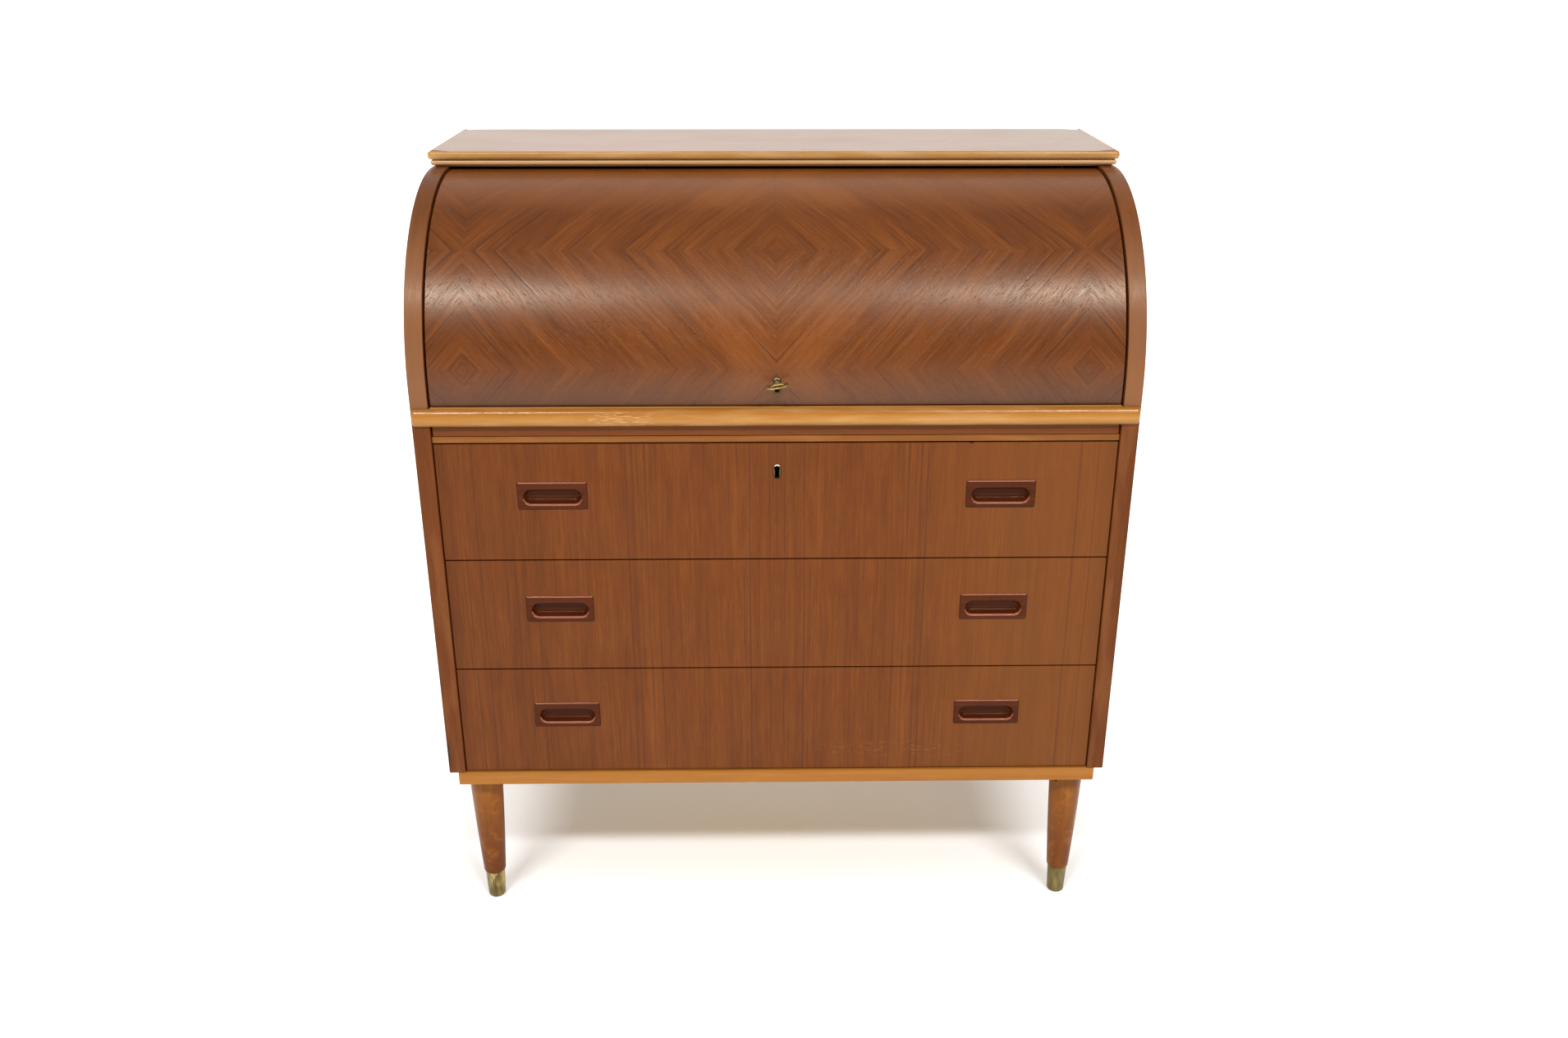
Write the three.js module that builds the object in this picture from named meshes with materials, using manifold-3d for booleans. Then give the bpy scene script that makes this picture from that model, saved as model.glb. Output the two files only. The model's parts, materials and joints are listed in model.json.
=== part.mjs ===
// A small cylinder-front writing desk: a rigid quarter-round cover over a pull-out leaf, three drawers
// below, on a low base frame with turned legs.
//
// Millimetres, +Z up, the front faces -Y and +X is to the right seen from the front. The origin is on
// the floor under the middle of the bounding box. The two side panels' front edges lie in one plane,
// and most depths are given behind it: depth(0) is that plane.

import * as THREE from "three";
import { mergeVertices } from "three/addons/utils/BufferGeometryUtils.js";
import Module from "manifold-3d";

// ---- driving dimensions ----

const CASE_WIDTH = 900;
const CASE_DEPTH = 467;
const PANEL = 22; // thickness of the side panels
const GAP = 0.3; // joint between fixed pieces that touch
const RUNNING_GAP = 1.5; // each side of a piece that slides between the side panels

const LEG_LENGTH = 216;
const PLINTH_HEIGHT = 20.5;
const DRAWER_PITCH = 159;
const RAIL_THICKNESS = 8;
const APRON_HEIGHT = 18.5;
const LEAF_THICKNESS = 18.7;
const NOSE_HEIGHT = 23;
const NOSE_PROUD = 8;
const COVER_GAP = 1.9; // between the leaf's top and the cover's lower edge

const ARC_RADIUS = 233; // quarter round at the top front of the side panels
const ARC_RISE = 22.5; // centre of the quarter round above the leaf's top
const COVER_RADIUS = 229.3;
const COVER_THICKNESS = 9;
const COVER_TOP_ANGLE = 94; // degrees above the horizontal, past the top of the quarter round

const TOP_THICKNESS = 19.7;
const TOP_WIDTH = 908;
const TOP_SETBACK = 230; // front edge of the top behind the side panels' front plane

const KEY_REACH = 27.4; // the key's bow stands this far in front of the side panels

// ---- derived levels and depths ----

const CASE_BASE = LEG_LENGTH + PLINTH_HEIGHT;
const RAIL_BOTTOM = CASE_BASE + 3 * DRAWER_PITCH + 1;
const RAIL_TOP = RAIL_BOTTOM + RAIL_THICKNESS;
const LEAF_BOTTOM = RAIL_TOP + APRON_HEIGHT + 2 * GAP;
const LEAF_TOP = LEAF_BOTTOM + LEAF_THICKNESS;
const ARC_Z = LEAF_TOP + ARC_RISE;
const CASE_TOP = ARC_Z + ARC_RADIUS;
const INNER_HALF = CASE_WIDTH / 2 - PANEL;
const SLIDING_HALF = INNER_HALF - RUNNING_GAP;
const FIXED_HALF = INNER_HALF - GAP;
const FRONT_Y = (KEY_REACH - CASE_DEPTH) / 2;

const depth = (d) => FRONT_Y + d;
const radians = (degrees) => (degrees * Math.PI) / 180;

// ---- materials ----

const finish = (color, roughness, metalness = 0) =>
  new THREE.MeshStandardMaterial({ color, roughness, metalness });

const TEAK = finish(0x80492a, 0.45);
const TEAK_COVER = finish(0x8a5230, 0.38);
const TEAK_PULL = finish(0x673423, 0.4);
const BEECH = finish(0xc68b45, 0.4);
const BEECH_LEG = finish(0xa5632c, 0.4);
const BIRCH_PLY = finish(0xc9a877, 0.6);
const BRASS = finish(0x96804a, 0.35, 1);
const STEEL = finish(0x9a9a96, 0.35, 1);

// ---- solids: closed geometries joined and cut with manifold-3d ----

const wasm = await Module();
wasm.setup();

function toSolid(geometry) {
  const bare = new THREE.BufferGeometry();
  const flat = geometry.index ? geometry.toNonIndexed() : geometry;
  bare.setAttribute("position", flat.getAttribute("position"));
  const merged = mergeVertices(bare, 1e-4);
  const mesh = new wasm.Mesh({
    numProp: 3,
    vertProperties: merged.attributes.position.array,
    triVerts: new Uint32Array(merged.index.array),
  });
  return new wasm.Manifold(mesh);
}

function toGeometry(solid) {
  const mesh = solid.getMesh();
  const geometry = new THREE.BufferGeometry();
  geometry.setAttribute("position", new THREE.BufferAttribute(mesh.vertProperties, 3));
  geometry.setIndex(new THREE.BufferAttribute(mesh.triVerts, 1));
  geometry.computeVertexNormals();
  return geometry;
}

const join = (pieces) => toGeometry(pieces.map(toSolid).reduce((a, b) => a.add(b)));

const cut = (piece, tools) =>
  toGeometry(tools.map(toSolid).reduce((a, b) => a.subtract(b), toSolid(piece)));

// A box from its ranges: x, y and z are each [low, high].
function block(x, y, z) {
  const geometry = new THREE.BoxGeometry(x[1] - x[0], y[1] - y[0], z[1] - z[0]);
  return geometry.translate((x[0] + x[1]) / 2, (y[0] + y[1]) / 2, (z[0] + z[1]) / 2);
}

// A round bar along Y or Z between two places on that axis.
function bar(axis, radius, from, to, across, sides = 24) {
  const geometry = new THREE.CylinderGeometry(radius, radius, to - from, sides);
  const middle = (from + to) / 2;
  if (axis === "x") {
    return geometry.rotateZ(Math.PI / 2).translate(middle, across[0], across[1]);
  }
  if (axis === "y") {
    return geometry.translate(across[0], middle, across[1]);
  }
  return geometry.rotateX(Math.PI / 2).translate(across[0], across[1], middle);
}

// An outline in (y, z) extruded along x between two values.
function slabX(outline, x, curveSegments) {
  const geometry = new THREE.ExtrudeGeometry(outline, {
    depth: x[1] - x[0],
    bevelEnabled: false,
    curveSegments,
  });
  // Shape x -> world y, shape y -> world z, extrusion -> world x.
  const basis = new THREE.Matrix4().makeBasis(
    new THREE.Vector3(0, 1, 0),
    new THREE.Vector3(0, 0, 1),
    new THREE.Vector3(1, 0, 0),
  );
  return geometry.applyMatrix4(basis).translate(x[0], 0, 0);
}

// An outline in (x, z) extruded along y from front to back.
function slabY(outline, y, curveSegments = 8) {
  const geometry = new THREE.ExtrudeGeometry(outline, {
    depth: y[1] - y[0],
    bevelEnabled: false,
    curveSegments,
  });
  return geometry.rotateX(Math.PI / 2).translate(0, y[1], 0);
}

// A stadium, longer along x or along z, centred on (cx, cz).
function stadium(width, height, cx = 0, cz = 0) {
  const radius = Math.min(width, height) / 2;
  const halfX = width / 2 - radius;
  const halfZ = height / 2 - radius;
  const shape = new THREE.Shape();
  const tall = halfZ > 0;
  const start = tall ? 0 : -Math.PI / 2;
  shape.absarc(cx + halfX, cz + halfZ, radius, start, start + Math.PI, false);
  shape.absarc(cx - halfX, cz - halfZ, radius, start + Math.PI, start + 2 * Math.PI, false);
  shape.closePath();
  return shape;
}

const group = new THREE.Group();

function add(name, geometry, material, parent = group) {
  const mesh = new THREE.Mesh(geometry, material);
  mesh.name = name;
  parent.add(mesh);
  return mesh;
}

// ---- case: side panels, back, bottom and the boards between them ----

const PIVOT_RADIUS = 5;
const PIVOT_DEPTH = 13;
const BACK_THICKNESS = 4;
const BOTTOM_THICKNESS = 10;
const LIPPING_DEPTH = 9.2;
const RAIL_SETBACK = 3.5;
const ARC_STEPS = 18; // half the number of flats in a quarter round

const pivotCentre = [depth(ARC_RADIUS), ARC_Z];

function sidePanel(side) {
  const outline = new THREE.Shape();
  outline.moveTo(depth(0), CASE_BASE);
  outline.lineTo(depth(0), ARC_Z);
  outline.absarc(...pivotCentre, ARC_RADIUS, Math.PI, Math.PI / 2, true);
  outline.lineTo(depth(CASE_DEPTH), CASE_TOP);
  outline.lineTo(depth(CASE_DEPTH), CASE_BASE);
  outline.closePath();
  const x = [INNER_HALF * side, (CASE_WIDTH / 2) * side].sort((a, b) => a - b);
  const panel = slabX(outline, x, ARC_STEPS);
  const holeFrom = side > 0 ? INNER_HALF - 1 : -INNER_HALF - PIVOT_DEPTH - 1;
  const hole = bar("x", PIVOT_RADIUS + GAP, holeFrom, holeFrom + PIVOT_DEPTH + 2, pivotCentre);
  return cut(panel, [hole]);
}

const fixedX = [-FIXED_HALF, FIXED_HALF];
const backY = [depth(CASE_DEPTH - BACK_THICKNESS - GAP), depth(CASE_DEPTH - GAP)];
const bottomZ = [CASE_BASE + GAP, CASE_BASE + GAP + BOTTOM_THICKNESS];
const railZ = [RAIL_BOTTOM, RAIL_TOP];
const boardBack = depth(440);
const frontLift = 23; // boards behind the drawer fronts start here

add("side_left", sidePanel(-1), TEAK);
add("side_right", sidePanel(1), TEAK);
add("back_panel", block(fixedX, backY, [bottomZ[1] + GAP, CASE_TOP - GAP]), BIRCH_PLY);
add("bottom_panel", block(fixedX, [depth(frontLift), backY[0] - GAP], bottomZ), BIRCH_PLY);

const lippingY = [depth(RAIL_SETBACK), depth(RAIL_SETBACK + LIPPING_DEPTH)];
add("leaf_rail", block(fixedX, lippingY, railZ), BEECH);

const BOLT_SLOT = { halfWidth: 12.5, front: 23.4, back: 32.6 };
const boltSlot = block(
  [-BOLT_SLOT.halfWidth, BOLT_SLOT.halfWidth],
  [depth(BOLT_SLOT.front), depth(BOLT_SLOT.back)],
  [RAIL_BOTTOM - 1, RAIL_TOP + 1],
);
const dustBoard = block(fixedX, [lippingY[1] + GAP, boardBack], railZ);
add("dust_board", cut(dustBoard, [boltSlot]), BIRCH_PLY);

// ---- top: a veneered board with a double-bead moulding mitred round its front and ends ----

const MOULDING_DEPTH = 12;
const MOULDING_STEPS = 8;
const topZ = [CASE_TOP + GAP, CASE_TOP + GAP + TOP_THICKNESS];

const REBATE = { face: 8.5, height: 2 }; // the shadow line under the moulding

// Moulding section as [distance in from the outer face, height]: a rebate, a small bead, a groove, a
// larger bead.
function mouldingSection() {
  const LOWER = { face: 3, bulge: 3.2, low: topZ[0] + REBATE.height, high: topZ[0] + 8.4 };
  const UPPER = { face: 0, bulge: 3.6, low: LOWER.high + 1, high: topZ[1] };
  const points = [
    [MOULDING_DEPTH, topZ[0]],
    [REBATE.face, topZ[0]],
    [REBATE.face, topZ[0] + REBATE.height],
  ];
  for (const bead of [LOWER, UPPER]) {
    const middle = (bead.low + bead.high) / 2;
    const halfHeight = (bead.high - bead.low) / 2;
    for (let i = 0; i <= MOULDING_STEPS; i += 1) {
      const angle = -Math.PI / 2 + (Math.PI * i) / MOULDING_STEPS;
      const inset = bead.face + bead.bulge * (1 - Math.cos(angle));
      points.push([inset, middle + halfHeight * Math.sin(angle)]);
    }
  }
  points.push([MOULDING_DEPTH, topZ[1]]);
  return points.reverse();
}

// A straight strip of the moulding section. from(inset) and to(inset) give the two ends of the line
// that runs at that distance in from the outer face, each as [x, y], so an end can be mitred.
function mouldingStrip(from, to) {
  const section = mouldingSection();
  const outline = section.map(([inset, z]) => new THREE.Vector2(inset, z));
  const faces = THREE.ShapeUtils.triangulateShape(outline, []);
  const count = section.length;
  const corners = [from, to].flatMap((end) => section.map(([inset, z]) => [...end(inset), z]));
  const triangles = [];
  for (let i = 0; i < count; i += 1) {
    const next = (i + 1) % count;
    triangles.push([i, next, count + next], [i, count + next, count + i]);
  }
  for (const [a, b, c] of faces) {
    triangles.push([a, c, b], [count + a, count + b, count + c]);
  }
  const geometry = new THREE.BufferGeometry();
  geometry.setAttribute("position", new THREE.Float32BufferAttribute(corners.flat(), 3));
  geometry.setIndex(triangles.flat());
  return geometry;
}

const topHalf = TOP_WIDTH / 2;
const topFront = depth(TOP_SETBACK);
const topBack = depth(CASE_DEPTH);
const mitreGap = GAP / 2;

const frontLeft = (inset) => [-topHalf + inset + mitreGap, topFront + inset];
const frontRight = (inset) => [topHalf - inset - mitreGap, topFront + inset];
const sideFront = (side) => (inset) => [side * (topHalf - inset), topFront + inset + mitreGap];
const sideBack = (side) => (inset) => [side * (topHalf - inset), topBack];

add("top_moulding_front", mouldingStrip(frontLeft, frontRight), BEECH);
add("top_moulding_left", mouldingStrip(sideBack(-1), sideFront(-1)), BEECH);
add("top_moulding_right", mouldingStrip(sideFront(1), sideBack(1)), BEECH);

const topInner = topHalf - MOULDING_DEPTH - GAP;
const topPanelY = [topFront + MOULDING_DEPTH + GAP, topBack];
add("top_panel", block([-topInner, topInner], topPanelY, topZ), TEAK);

// ---- base: a low frame of two long rails and two wide cross rails that take the legs ----

const PLINTH_HALF = 438.4;
const PLINTH_RAIL = 20;
const CROSS_RAIL = 60;
const PLINTH_FRONT = 0;
const PLINTH_BACK = 446;
const LEG_X = 411;
const LEG_FRONT = 45;
const LEG_BACK = 405;
const TENON_RADIUS = 8;
const TENON_LENGTH = 14;

const plinthX = [-PLINTH_HALF, PLINTH_HALF];
const plinthZ = [LEG_LENGTH + GAP, CASE_BASE - GAP];
const crossY = [depth(PLINTH_FRONT + PLINTH_RAIL) + GAP, depth(PLINTH_BACK - PLINTH_RAIL) - GAP];
const longRail = (front) => block(plinthX, [depth(front), depth(front + PLINTH_RAIL)], plinthZ);

function crossRail(side) {
  const x = [side * (PLINTH_HALF - CROSS_RAIL), side * PLINTH_HALF].sort((a, b) => a - b);
  const sockets = [LEG_FRONT, LEG_BACK].map((d) =>
    bar("z", TENON_RADIUS + GAP, LEG_LENGTH - 1, LEG_LENGTH + TENON_LENGTH + 1, [side * LEG_X, depth(d)]),
  );
  return cut(block(x, crossY, plinthZ), sockets);
}

add("plinth_front", longRail(PLINTH_FRONT), BEECH);
add("plinth_back", longRail(PLINTH_BACK - PLINTH_RAIL), BEECH);
add("plinth_left", crossRail(-1), BEECH);
add("plinth_right", crossRail(1), BEECH);

// ---- legs: turned, tapered, each in a brass ferrule ----

const LEG_TOP_RADIUS = 23.3;
const SHOULDER_RADIUS = 15.5;
const SHOULDER_HEIGHT = 47;
const FERRULE_HEIGHT = 43;
const FERRULE_TOP_RADIUS = 13.75;
const FERRULE_FOOT_RADIUS = 12;
const FERRULE_WALL = 0.9;
const FERRULE_FLOOR = 1.2;
const LEG_SIDES = 28;

function turned(profile, sides = LEG_SIDES) {
  const points = profile.map(([r, z]) => new THREE.Vector2(r, z));
  return new THREE.LatheGeometry(points, sides).rotateX(Math.PI / 2);
}

const spigot = FERRULE_WALL + GAP;
const legProfile = [
  [0, FERRULE_FLOOR + GAP],
  [FERRULE_FOOT_RADIUS - spigot, FERRULE_FLOOR + GAP],
  [FERRULE_TOP_RADIUS - spigot, FERRULE_HEIGHT + GAP],
  [SHOULDER_RADIUS - 1.1, FERRULE_HEIGHT + GAP],
  [SHOULDER_RADIUS - 0.3, FERRULE_HEIGHT + 1.5],
  [SHOULDER_RADIUS, SHOULDER_HEIGHT],
  [LEG_TOP_RADIUS, LEG_LENGTH],
  [TENON_RADIUS, LEG_LENGTH],
  [TENON_RADIUS, LEG_LENGTH + TENON_LENGTH],
  [0, LEG_LENGTH + TENON_LENGTH],
];
const ferruleProfile = [
  [0, 0],
  [FERRULE_FOOT_RADIUS - 0.8, 0],
  [FERRULE_FOOT_RADIUS, 1.5],
  [FERRULE_TOP_RADIUS, FERRULE_HEIGHT],
  [FERRULE_TOP_RADIUS - FERRULE_WALL, FERRULE_HEIGHT],
  [FERRULE_FOOT_RADIUS - FERRULE_WALL, FERRULE_FLOOR],
  [0, FERRULE_FLOOR],
];

for (const [end, d] of [["front", LEG_FRONT], ["back", LEG_BACK]]) {
  for (const [hand, side] of [["left", -1], ["right", 1]]) {
    const leg = add(`leg_${end}_${hand}`, turned(legProfile), BEECH_LEG);
    const ferrule = add(`ferrule_${end}_${hand}`, turned(ferruleProfile), BRASS);
    leg.position.set(side * LEG_X, depth(d), 0);
    ferrule.position.copy(leg.position);
  }
}

// ---- pull-out writing leaf ----

const NOSE_HALF = 448;
const TONGUE_DEPTH = 13.7;
const APRON_FRONT = 4;
const APRON_DEPTH = 20;
const BATTEN_WIDTH = 22;
const BATTEN_BACK = 436;
const MORTISE = { halfWidth: 13, front: 18.5, back: 27.5, depth: 10 };

const leafX = [-SLIDING_HALF, SLIDING_HALF];
const leafZ = [LEAF_BOTTOM, LEAF_TOP];
const underLeafZ = [RAIL_TOP + GAP, LEAF_BOTTOM - GAP];

function leafNose() {
  const outline = new THREE.Shape();
  const back = depth(-GAP);
  const middle = LEAF_TOP - NOSE_HEIGHT / 2;
  outline.absellipse(
    back,
    middle,
    NOSE_PROUD - GAP,
    NOSE_HEIGHT / 2,
    Math.PI / 2,
    (3 * Math.PI) / 2,
    false,
  );
  outline.closePath();
  const strip = slabX(outline, [-NOSE_HALF, NOSE_HALF], MOULDING_STEPS);
  const tongue = block(leafX, [depth(-2 * GAP), depth(TONGUE_DEPTH)], leafZ);
  return join([strip, tongue]);
}

const mortise = block(
  [-MORTISE.halfWidth, MORTISE.halfWidth],
  [depth(MORTISE.front), depth(MORTISE.back)],
  [LEAF_TOP - MORTISE.depth, LEAF_TOP + 1],
);
const leafBoard = block(leafX, [depth(TONGUE_DEPTH) + GAP, boardBack], leafZ);
add("writing_leaf", cut(leafBoard, [mortise]), TEAK);
add("leaf_nose", leafNose(), BEECH);

const apronY = [depth(APRON_FRONT), depth(APRON_FRONT + APRON_DEPTH)];
add("leaf_apron", block(leafX, apronY, underLeafZ), TEAK);

const battenY = [apronY[1] + GAP, depth(BATTEN_BACK)];
for (const [hand, side] of [["left", -1], ["right", 1]]) {
  const x = [side * (SLIDING_HALF - BATTEN_WIDTH), side * SLIDING_HALF].sort((a, b) => a - b);
  add(`leaf_batten_${hand}`, block(x, battenY, underLeafZ), BEECH);
}

// ---- cover: a rigid curved panel on two end cheeks that turn on pins in the side panels ----

const COVER_HALF = 425.7;
const COVER_STEPS = 20;
const CHEEK_OUTER = 424.7;
const CHEEK_THICKNESS = 8;
const HUB_RADIUS = 18;
const PIN_HEAD_RADIUS = 8;
const PIN_HEAD = 2.2;
const LOCK_LEVEL = 792; // height of the cover's keyhole

const coverInner = COVER_RADIUS - COVER_THICKNESS;
const coverLow = Math.asin((LEAF_TOP + COVER_GAP - ARC_Z) / COVER_RADIUS);
const coverHigh = radians(COVER_TOP_ANGLE);
const lockAngle = Math.asin((LOCK_LEVEL - ARC_Z) / COVER_RADIUS);

// The cover's curved board, part of a ring round the pivot.
function coverBoard() {
  const outline = new THREE.Shape();
  const [y, z] = pivotCentre;
  outline.absarc(y, z, COVER_RADIUS, Math.PI - coverLow, Math.PI - coverHigh, true);
  outline.absarc(y, z, coverInner, Math.PI - coverHigh, Math.PI - coverLow, false);
  outline.closePath();
  return slabX(outline, [-COVER_HALF, COVER_HALF], COVER_STEPS);
}

// Moves a piece from the lock's own frame, where -Y points out through the keyhole and the origin is
// the pivot's axis, to its place.
const atCoverLock = (geometry) => geometry.rotateX(-lockAngle).translate(0, ...pivotCentre);

const LINER = { width: 9.6, height: 19, proud: 0.5, length: 7, rim: 1.2 };
const LINER_SLOT = 5.2; // width of the keyhole below its eye
const HOLE_CENTRE = (LINER.width - LINER.height) / 2; // the eye and the liner's top are concentric

const linerHole = (y) =>
  slabY(stadium(LINER.width + 2 * GAP, LINER.height + 2 * GAP, 0, HOLE_CENTRE), y);

function keyholeLiner(y) {
  const shape = stadium(LINER.width, LINER.height, 0, HOLE_CENTRE);
  const eye = LINER.width / 2 - LINER.rim;
  const slotHalf = LINER_SLOT / 2;
  const slotFoot = HOLE_CENTRE - LINER.height / 2 + LINER.rim;
  const meet = Math.asin(slotHalf / eye);
  const hole = new THREE.Path();
  hole.absarc(0, 0, eye, -Math.PI / 2 + meet, (3 * Math.PI) / 2 - meet, false);
  hole.lineTo(-slotHalf, slotFoot);
  hole.lineTo(slotHalf, slotFoot);
  hole.closePath();
  shape.holes.push(hole);
  return slabY(shape, y);
}

const coverHole = atCoverLock(linerHole([-COVER_RADIUS - 3, -coverInner + 3]));
add("cover_panel", cut(coverBoard(), [coverHole]), TEAK_COVER);

// A quarter-disc cheek under each end of the panel, pierced at its hub for the pivot pin.
function coverCheek(side) {
  const x = [side * (CHEEK_OUTER - CHEEK_THICKNESS), side * CHEEK_OUTER].sort((a, b) => a - b);
  const [y, z] = pivotCentre;
  const outline = new THREE.Shape();
  outline.absarc(y, z, coverInner - GAP, Math.PI - coverLow, Math.PI - coverHigh, true);
  outline.lineTo(y, z);
  outline.closePath();
  const hub = bar("x", HUB_RADIUS, ...x, pivotCentre);
  const hole = bar("x", PIVOT_RADIUS + GAP, x[0] - 1, x[1] + 1, pivotCentre);
  return cut(join([slabX(outline, x, COVER_STEPS), hub]), [hole]);
}

function pivotPin() {
  const length = PIN_HEAD + CHEEK_THICKNESS + (INNER_HALF - CHEEK_OUTER) + PIVOT_DEPTH;
  const profile = [
    [0, 0],
    [PIN_HEAD_RADIUS, 0],
    [PIN_HEAD_RADIUS, PIN_HEAD],
    [PIVOT_RADIUS, PIN_HEAD],
    [PIVOT_RADIUS, length],
    [0, length],
  ];
  return turned(profile, 24);
}

for (const [hand, side] of [["left", -1], ["right", 1]]) {
  add(`cover_cheek_${hand}`, coverCheek(side), BIRCH_PLY);
  const pin = add(`pivot_pin_${hand}`, pivotPin(), STEEL);
  pin.rotation.y = (side * Math.PI) / 2;
  pin.position.set(side * (CHEEK_OUTER - CHEEK_THICKNESS - PIN_HEAD - GAP), ...pivotCentre);
}

// ---- cover lock, in a frame turned with the keyhole: -Y points out, Z along the panel ----

const LOCK = { halfWidth: 30, outer: 218.4, inner: 205.6, low: -26.4, high: 14, wall: 1.8 };
const BOLT = { halfWidth: 10, outer: 212.3, inner: 207.9, low: -28.8, high: 6 };
const SHANK_RADIUS = 2.1;
const SHANK_END = 213.2;
const BIT = { reach: 6.5, from: 213.4, to: 217.8, thickness: 2 };
const BOW = { halfWidth: 14.8, halfLength: 11.4, eyeHalfWidth: 9, eyeHalfLength: 5.6, thickness: 2.6 };
const KEY_ROLL = -10; // degrees: at rest the bow's left end hangs a little low

const lockFrame = new THREE.Group();
lockFrame.position.set(0, ...pivotCentre);
lockFrame.rotation.x = -lockAngle;
group.add(lockFrame);

function lockCase() {
  const body = block(
    [-LOCK.halfWidth, LOCK.halfWidth],
    [-LOCK.outer, -LOCK.inner],
    [LOCK.low, LOCK.high],
  );
  const hollow = block(
    [-LOCK.halfWidth + 5, LOCK.halfWidth - 5],
    [-LOCK.outer - 1, -LOCK.inner - LOCK.wall],
    [LOCK.low - 1, LOCK.high - 3],
  );
  return cut(body, [hollow]);
}

add("cover_lock_case", lockCase(), STEEL, lockFrame);
const linerY = [-COVER_RADIUS - LINER.proud, -COVER_RADIUS - LINER.proud + LINER.length];
add("cover_keyhole_liner", keyholeLiner(linerY), BRASS, lockFrame);

const coverBolt = block(
  [-BOLT.halfWidth, BOLT.halfWidth],
  [-BOLT.outer, -BOLT.inner],
  [BOLT.low, BOLT.high],
);
add("cover_lock_bolt", coverBolt, STEEL, lockFrame);

function key() {
  const bowFront = (ARC_RADIUS + KEY_REACH) / Math.cos(lockAngle);
  const bowCentre = -bowFront + BOW.halfLength;
  const bowOutline = new THREE.Shape();
  bowOutline.absellipse(0, bowCentre, BOW.halfWidth, BOW.halfLength, 0, 2 * Math.PI, false);
  const eye = new THREE.Path();
  eye.absellipse(0, bowCentre, BOW.eyeHalfWidth, BOW.eyeHalfLength, 0, 2 * Math.PI, false);
  bowOutline.holes.push(eye);
  const bow = new THREE.ExtrudeGeometry(bowOutline, {
    depth: BOW.thickness,
    bevelEnabled: false,
    curveSegments: 12,
  });
  bow.translate(0, 0, -BOW.thickness / 2);
  const shank = bar("y", SHANK_RADIUS, bowCentre + BOW.eyeHalfLength + 2, -SHANK_END, [0, 0], 12);
  const bit = block(
    [SHANK_RADIUS / 2, BIT.reach],
    [-BIT.to, -BIT.from],
    [-BIT.thickness / 2, BIT.thickness / 2],
  );
  return join([bow, shank, bit]);
}

const coverKey = add("key", key(), BRASS, lockFrame);
coverKey.rotation.y = radians(KEY_ROLL);

// ---- drawers: a flush front, a box running on side strips, two let-in finger pulls ----

const FRONT_SETBACK = 3.5;
const FRONT_THICKNESS = 19;
const FRONT_HALF = INNER_HALF - 1.1;
const FRONT_GAP = 1.7;
const BOX_WALL = 12.5;
const BOX_FLOOR = 5;
const BOX_LIFT = 12;
const BOX_HEIGHT = 120;
const RUNNER_LIFT = 72;
const RUNNER_HEIGHT = 14;
const RUNNER_THICKNESS = 7.7;
const PULL_X = 283.5;
const PULL_LIFT = 89; // pull centre above the drawer front's lower edge
const PLATE = { width: 88, height: 37, proud: 1.2, thickness: 4 };
const CUP = { width: 79.4, height: 25.4, depth: 12, drop: 1.5 };
const RECESS = { width: 73, height: 19, depth: 12 };
const DRAWER_KEYHOLE = 679.5; // height of the key's axis

const frontY = [depth(FRONT_SETBACK), depth(FRONT_SETBACK + FRONT_THICKNESS)];
const plateY = [frontY[0] - PLATE.proud, frontY[0] - PLATE.proud + PLATE.thickness];
const cupY = [plateY[1] - 0.5, plateY[1] + CUP.depth];

const plateBlock = (x, z, slack, y) =>
  block(
    [x - PLATE.width / 2 - slack, x + PLATE.width / 2 + slack],
    y,
    [z - PLATE.height / 2 - slack, z + PLATE.height / 2 + slack],
  );

function fingerPull(x, z) {
  const cupZ = z - CUP.drop;
  const plate = plateBlock(x, z, 0, plateY);
  const cup = slabY(stadium(CUP.width, CUP.height, x, cupZ), cupY);
  const recess = slabY(stadium(RECESS.width, RECESS.height, x, cupZ), [
    plateY[0] - 1,
    plateY[0] + RECESS.depth,
  ]);
  return cut(join([plate, cup]), [recess]);
}

function pullPocket(x, z) {
  const seat = plateBlock(x, z, GAP, [frontY[0] - 1, plateY[1] + GAP]);
  const well = slabY(stadium(CUP.width + 2 * GAP, CUP.height + 2 * GAP, x, z - CUP.drop), [
    plateY[1],
    cupY[1] + GAP,
  ]);
  return join([seat, well]);
}

function drawerFront(low, keyholes) {
  const z = [low + FRONT_GAP / 2, low + DRAWER_PITCH - FRONT_GAP / 2];
  const panel = block([-FRONT_HALF, FRONT_HALF], frontY, z);
  const pockets = [-PULL_X, PULL_X].map((x) => pullPocket(x, low + PULL_LIFT));
  return cut(panel, [...pockets, ...keyholes]);
}

function drawerBox(low) {
  const z = [low + BOX_LIFT, low + BOX_LIFT + BOX_HEIGHT];
  const y = [frontY[1] + GAP, boardBack];
  const outer = block(leafX, y, z);
  const innerHalf = SLIDING_HALF - BOX_WALL;
  const hollow = block(
    [-innerHalf, innerHalf],
    [y[0] - 1, y[1] - BOX_WALL],
    [z[0] + BOX_FLOOR, z[1] + 1],
  );
  const slack = 0.6;
  const runner = runnerZ(low);
  const grooveZ = [runner[0] - slack, runner[1] + slack];
  const grooveY = [y[0] - 1, y[1] + 1];
  const grooveFloor = FIXED_HALF - RUNNER_THICKNESS - slack;
  const grooves = [
    block([grooveFloor, INNER_HALF], grooveY, grooveZ),
    block([-INNER_HALF, -grooveFloor], grooveY, grooveZ),
  ];
  return cut(outer, [hollow, ...grooves]);
}

function runnerZ(low) {
  return [low + RUNNER_LIFT, low + RUNNER_LIFT + RUNNER_HEIGHT];
}

const runnerY = [depth(26), depth(432)];
const DRAWER_NAMES = ["bottom", "middle", "top"];

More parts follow.
